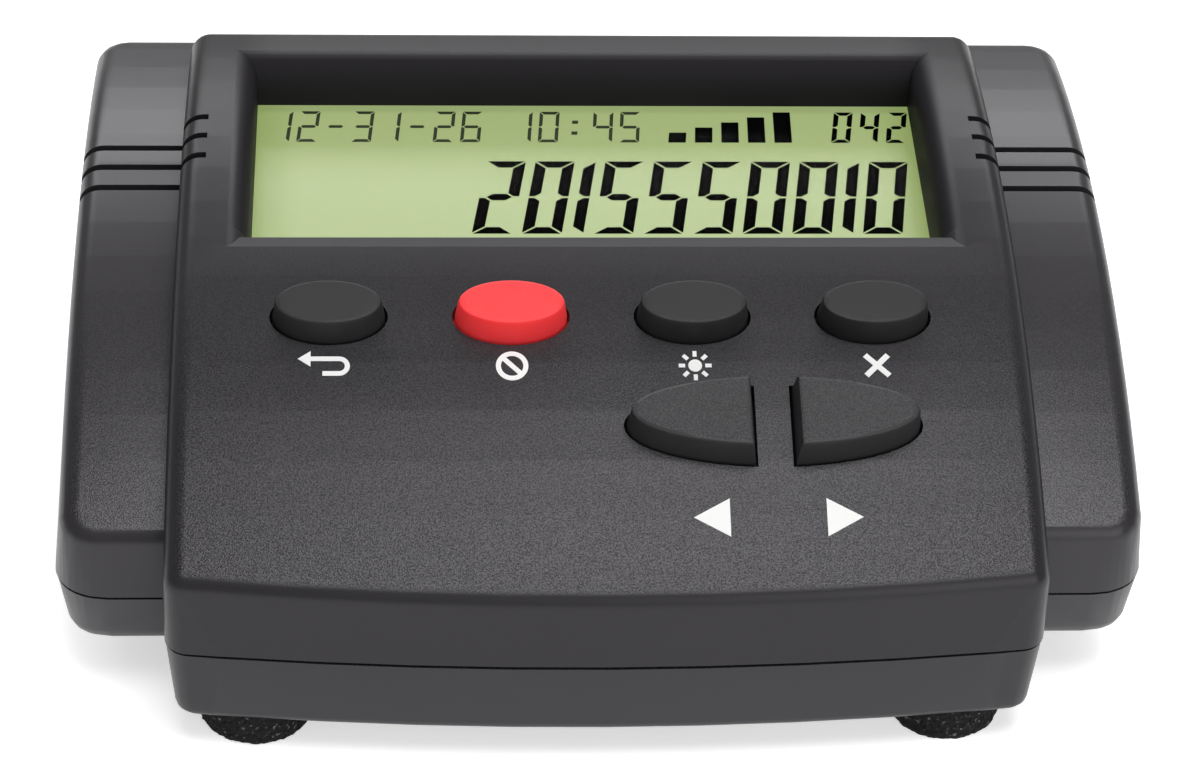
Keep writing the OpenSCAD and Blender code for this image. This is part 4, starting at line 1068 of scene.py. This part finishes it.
def area_light(name, place, power, size, size_y=None):
    """Soft lamp at a place, square or of two sizes, that faces the body."""
    data = bpy.data.lights.new(name, "AREA")
    data.size = size
    if size_y:
        data.shape = "RECTANGLE"
        data.size_y = size_y
    data.energy = power
    lamp = bpy.data.objects.new(name, data)
    lamp.location = place
    lamp.rotation_euler = (LAMP_TARGET - Vector(place)).to_track_quat("-Z", "Y").to_euler()
    bpy.context.scene.collection.objects.link(lamp)


def seen_directly(tree):
    """1 for the rays of the camera and for those that reach it through gloss or glass, else 0."""
    rays = tree.nodes.new("ShaderNodeLightPath").outputs
    straight = combined(tree, "MAXIMUM", rays["Is Camera Ray"], rays["Is Glossy Ray"])
    return combined(tree, "MAXIMUM", straight, rays["Is Transmission Ray"])


def make_floor():
    """White floor that runs far past the view and keeps the shadow of the body."""
    material, tree, shader = new_material("floor")
    slow = noise_of(tree, FLOOR_SCALE, PLAIN_DETAIL, object_space(tree))
    tree.links.new(wandering(tree, slow, FLOOR_COLOR, FLOOR_CHANGE), shader.inputs["Base Color"])
    shader.inputs["Roughness"].default_value = 0.8
    shader.inputs["Emission Color"].default_value = (1, 1, 1, 1)
    glow = multiplied(tree, seen_directly(tree), FLOOR_GLOW)
    tree.links.new(glow, shader.inputs["Emission Strength"])
    corners = [(x * FLOOR_HALF, y * FLOOR_HALF, 0) for x, y in ((-1, -1), (1, -1), (1, 1), (-1, 1))]
    mesh = bpy.data.meshes.new("floor")
    mesh.from_pydata(corners, [], [(0, 1, 2, 3)])
    mesh.materials.append(material)
    floor = bpy.data.objects.new("floor", mesh)
    bpy.context.scene.collection.objects.link(floor)


def make_light():
    """White surroundings and three soft lamps."""
    world = bpy.data.worlds.new("studio")
    world.use_nodes = True
    background = world.node_tree.nodes["Background"]
    background.inputs["Color"].default_value = (1, 1, 1, 1)
    background.inputs["Strength"].default_value = WORLD_LIGHT
    bpy.context.scene.world = world
    area_light("key_lamp", (0.10, -0.22, 1.0), power=6.2, size=0.55)
    area_light("back_lamp", (0.0, 0.85, 0.66), power=6.4, size=1.2, size_y=0.3)
    area_light("fill_lamp", (0.4, -0.8, 0.4), power=2.4, size=0.6)


# Camera of the photograph: target, angles, distance, shift and focal length
CAMERA_TARGET = Vector((-0.2 * MM, -10.0 * MM, 22 * MM))
CAMERA_TURN = math.radians(3.91)
CAMERA_RISE = math.radians(36.1)
CAMERA_ROLL = math.radians(2.2)
CAMERA_DISTANCE = 402.9 * MM
CAMERA_SLIDE = (-0.62 * MM, -1.46 * MM)
SENSOR_W = 36
IMAGE_W = 1200
FOCAL_PIXELS = 3554.4
CLIP_START = 0.01
CLIP_END = 20


def make_camera():
    """Camera at the photograph's angle."""
    turn = Matrix.Rotation(-CAMERA_TURN, 3, "Z")
    level_right = Vector((1, 0, 0))
    level_up = Vector((0, math.sin(CAMERA_RISE), math.cos(CAMERA_RISE)))
    forward = turn @ Vector((0, math.cos(CAMERA_RISE), -math.sin(CAMERA_RISE)))
    right = turn @ (level_right * math.cos(CAMERA_ROLL) + level_up * math.sin(CAMERA_ROLL))
    up = turn @ (level_up * math.cos(CAMERA_ROLL) - level_right * math.sin(CAMERA_ROLL))
    data = bpy.data.cameras.new("camera")
    data.sensor_width = SENSOR_W
    data.lens = FOCAL_PIXELS / IMAGE_W * SENSOR_W
    data.clip_start = CLIP_START
    data.clip_end = CLIP_END
    camera = bpy.data.objects.new("camera", data)
    axes = Matrix((right, up, -forward)).transposed().to_4x4()
    place = CAMERA_TARGET - forward * CAMERA_DISTANCE - right * CAMERA_SLIDE[0] - up * CAMERA_SLIDE[1]
    camera.matrix_world = Matrix.Translation(place) @ axes
    bpy.context.scene.collection.objects.link(camera)
    bpy.context.scene.camera = camera


make_camera()
dress_nodes()
make_display()
make_signs()
make_feet()
make_floor()
make_light()
bpy.context.scene.view_settings.view_transform = "Standard"

bpy.context.view_layer.update()
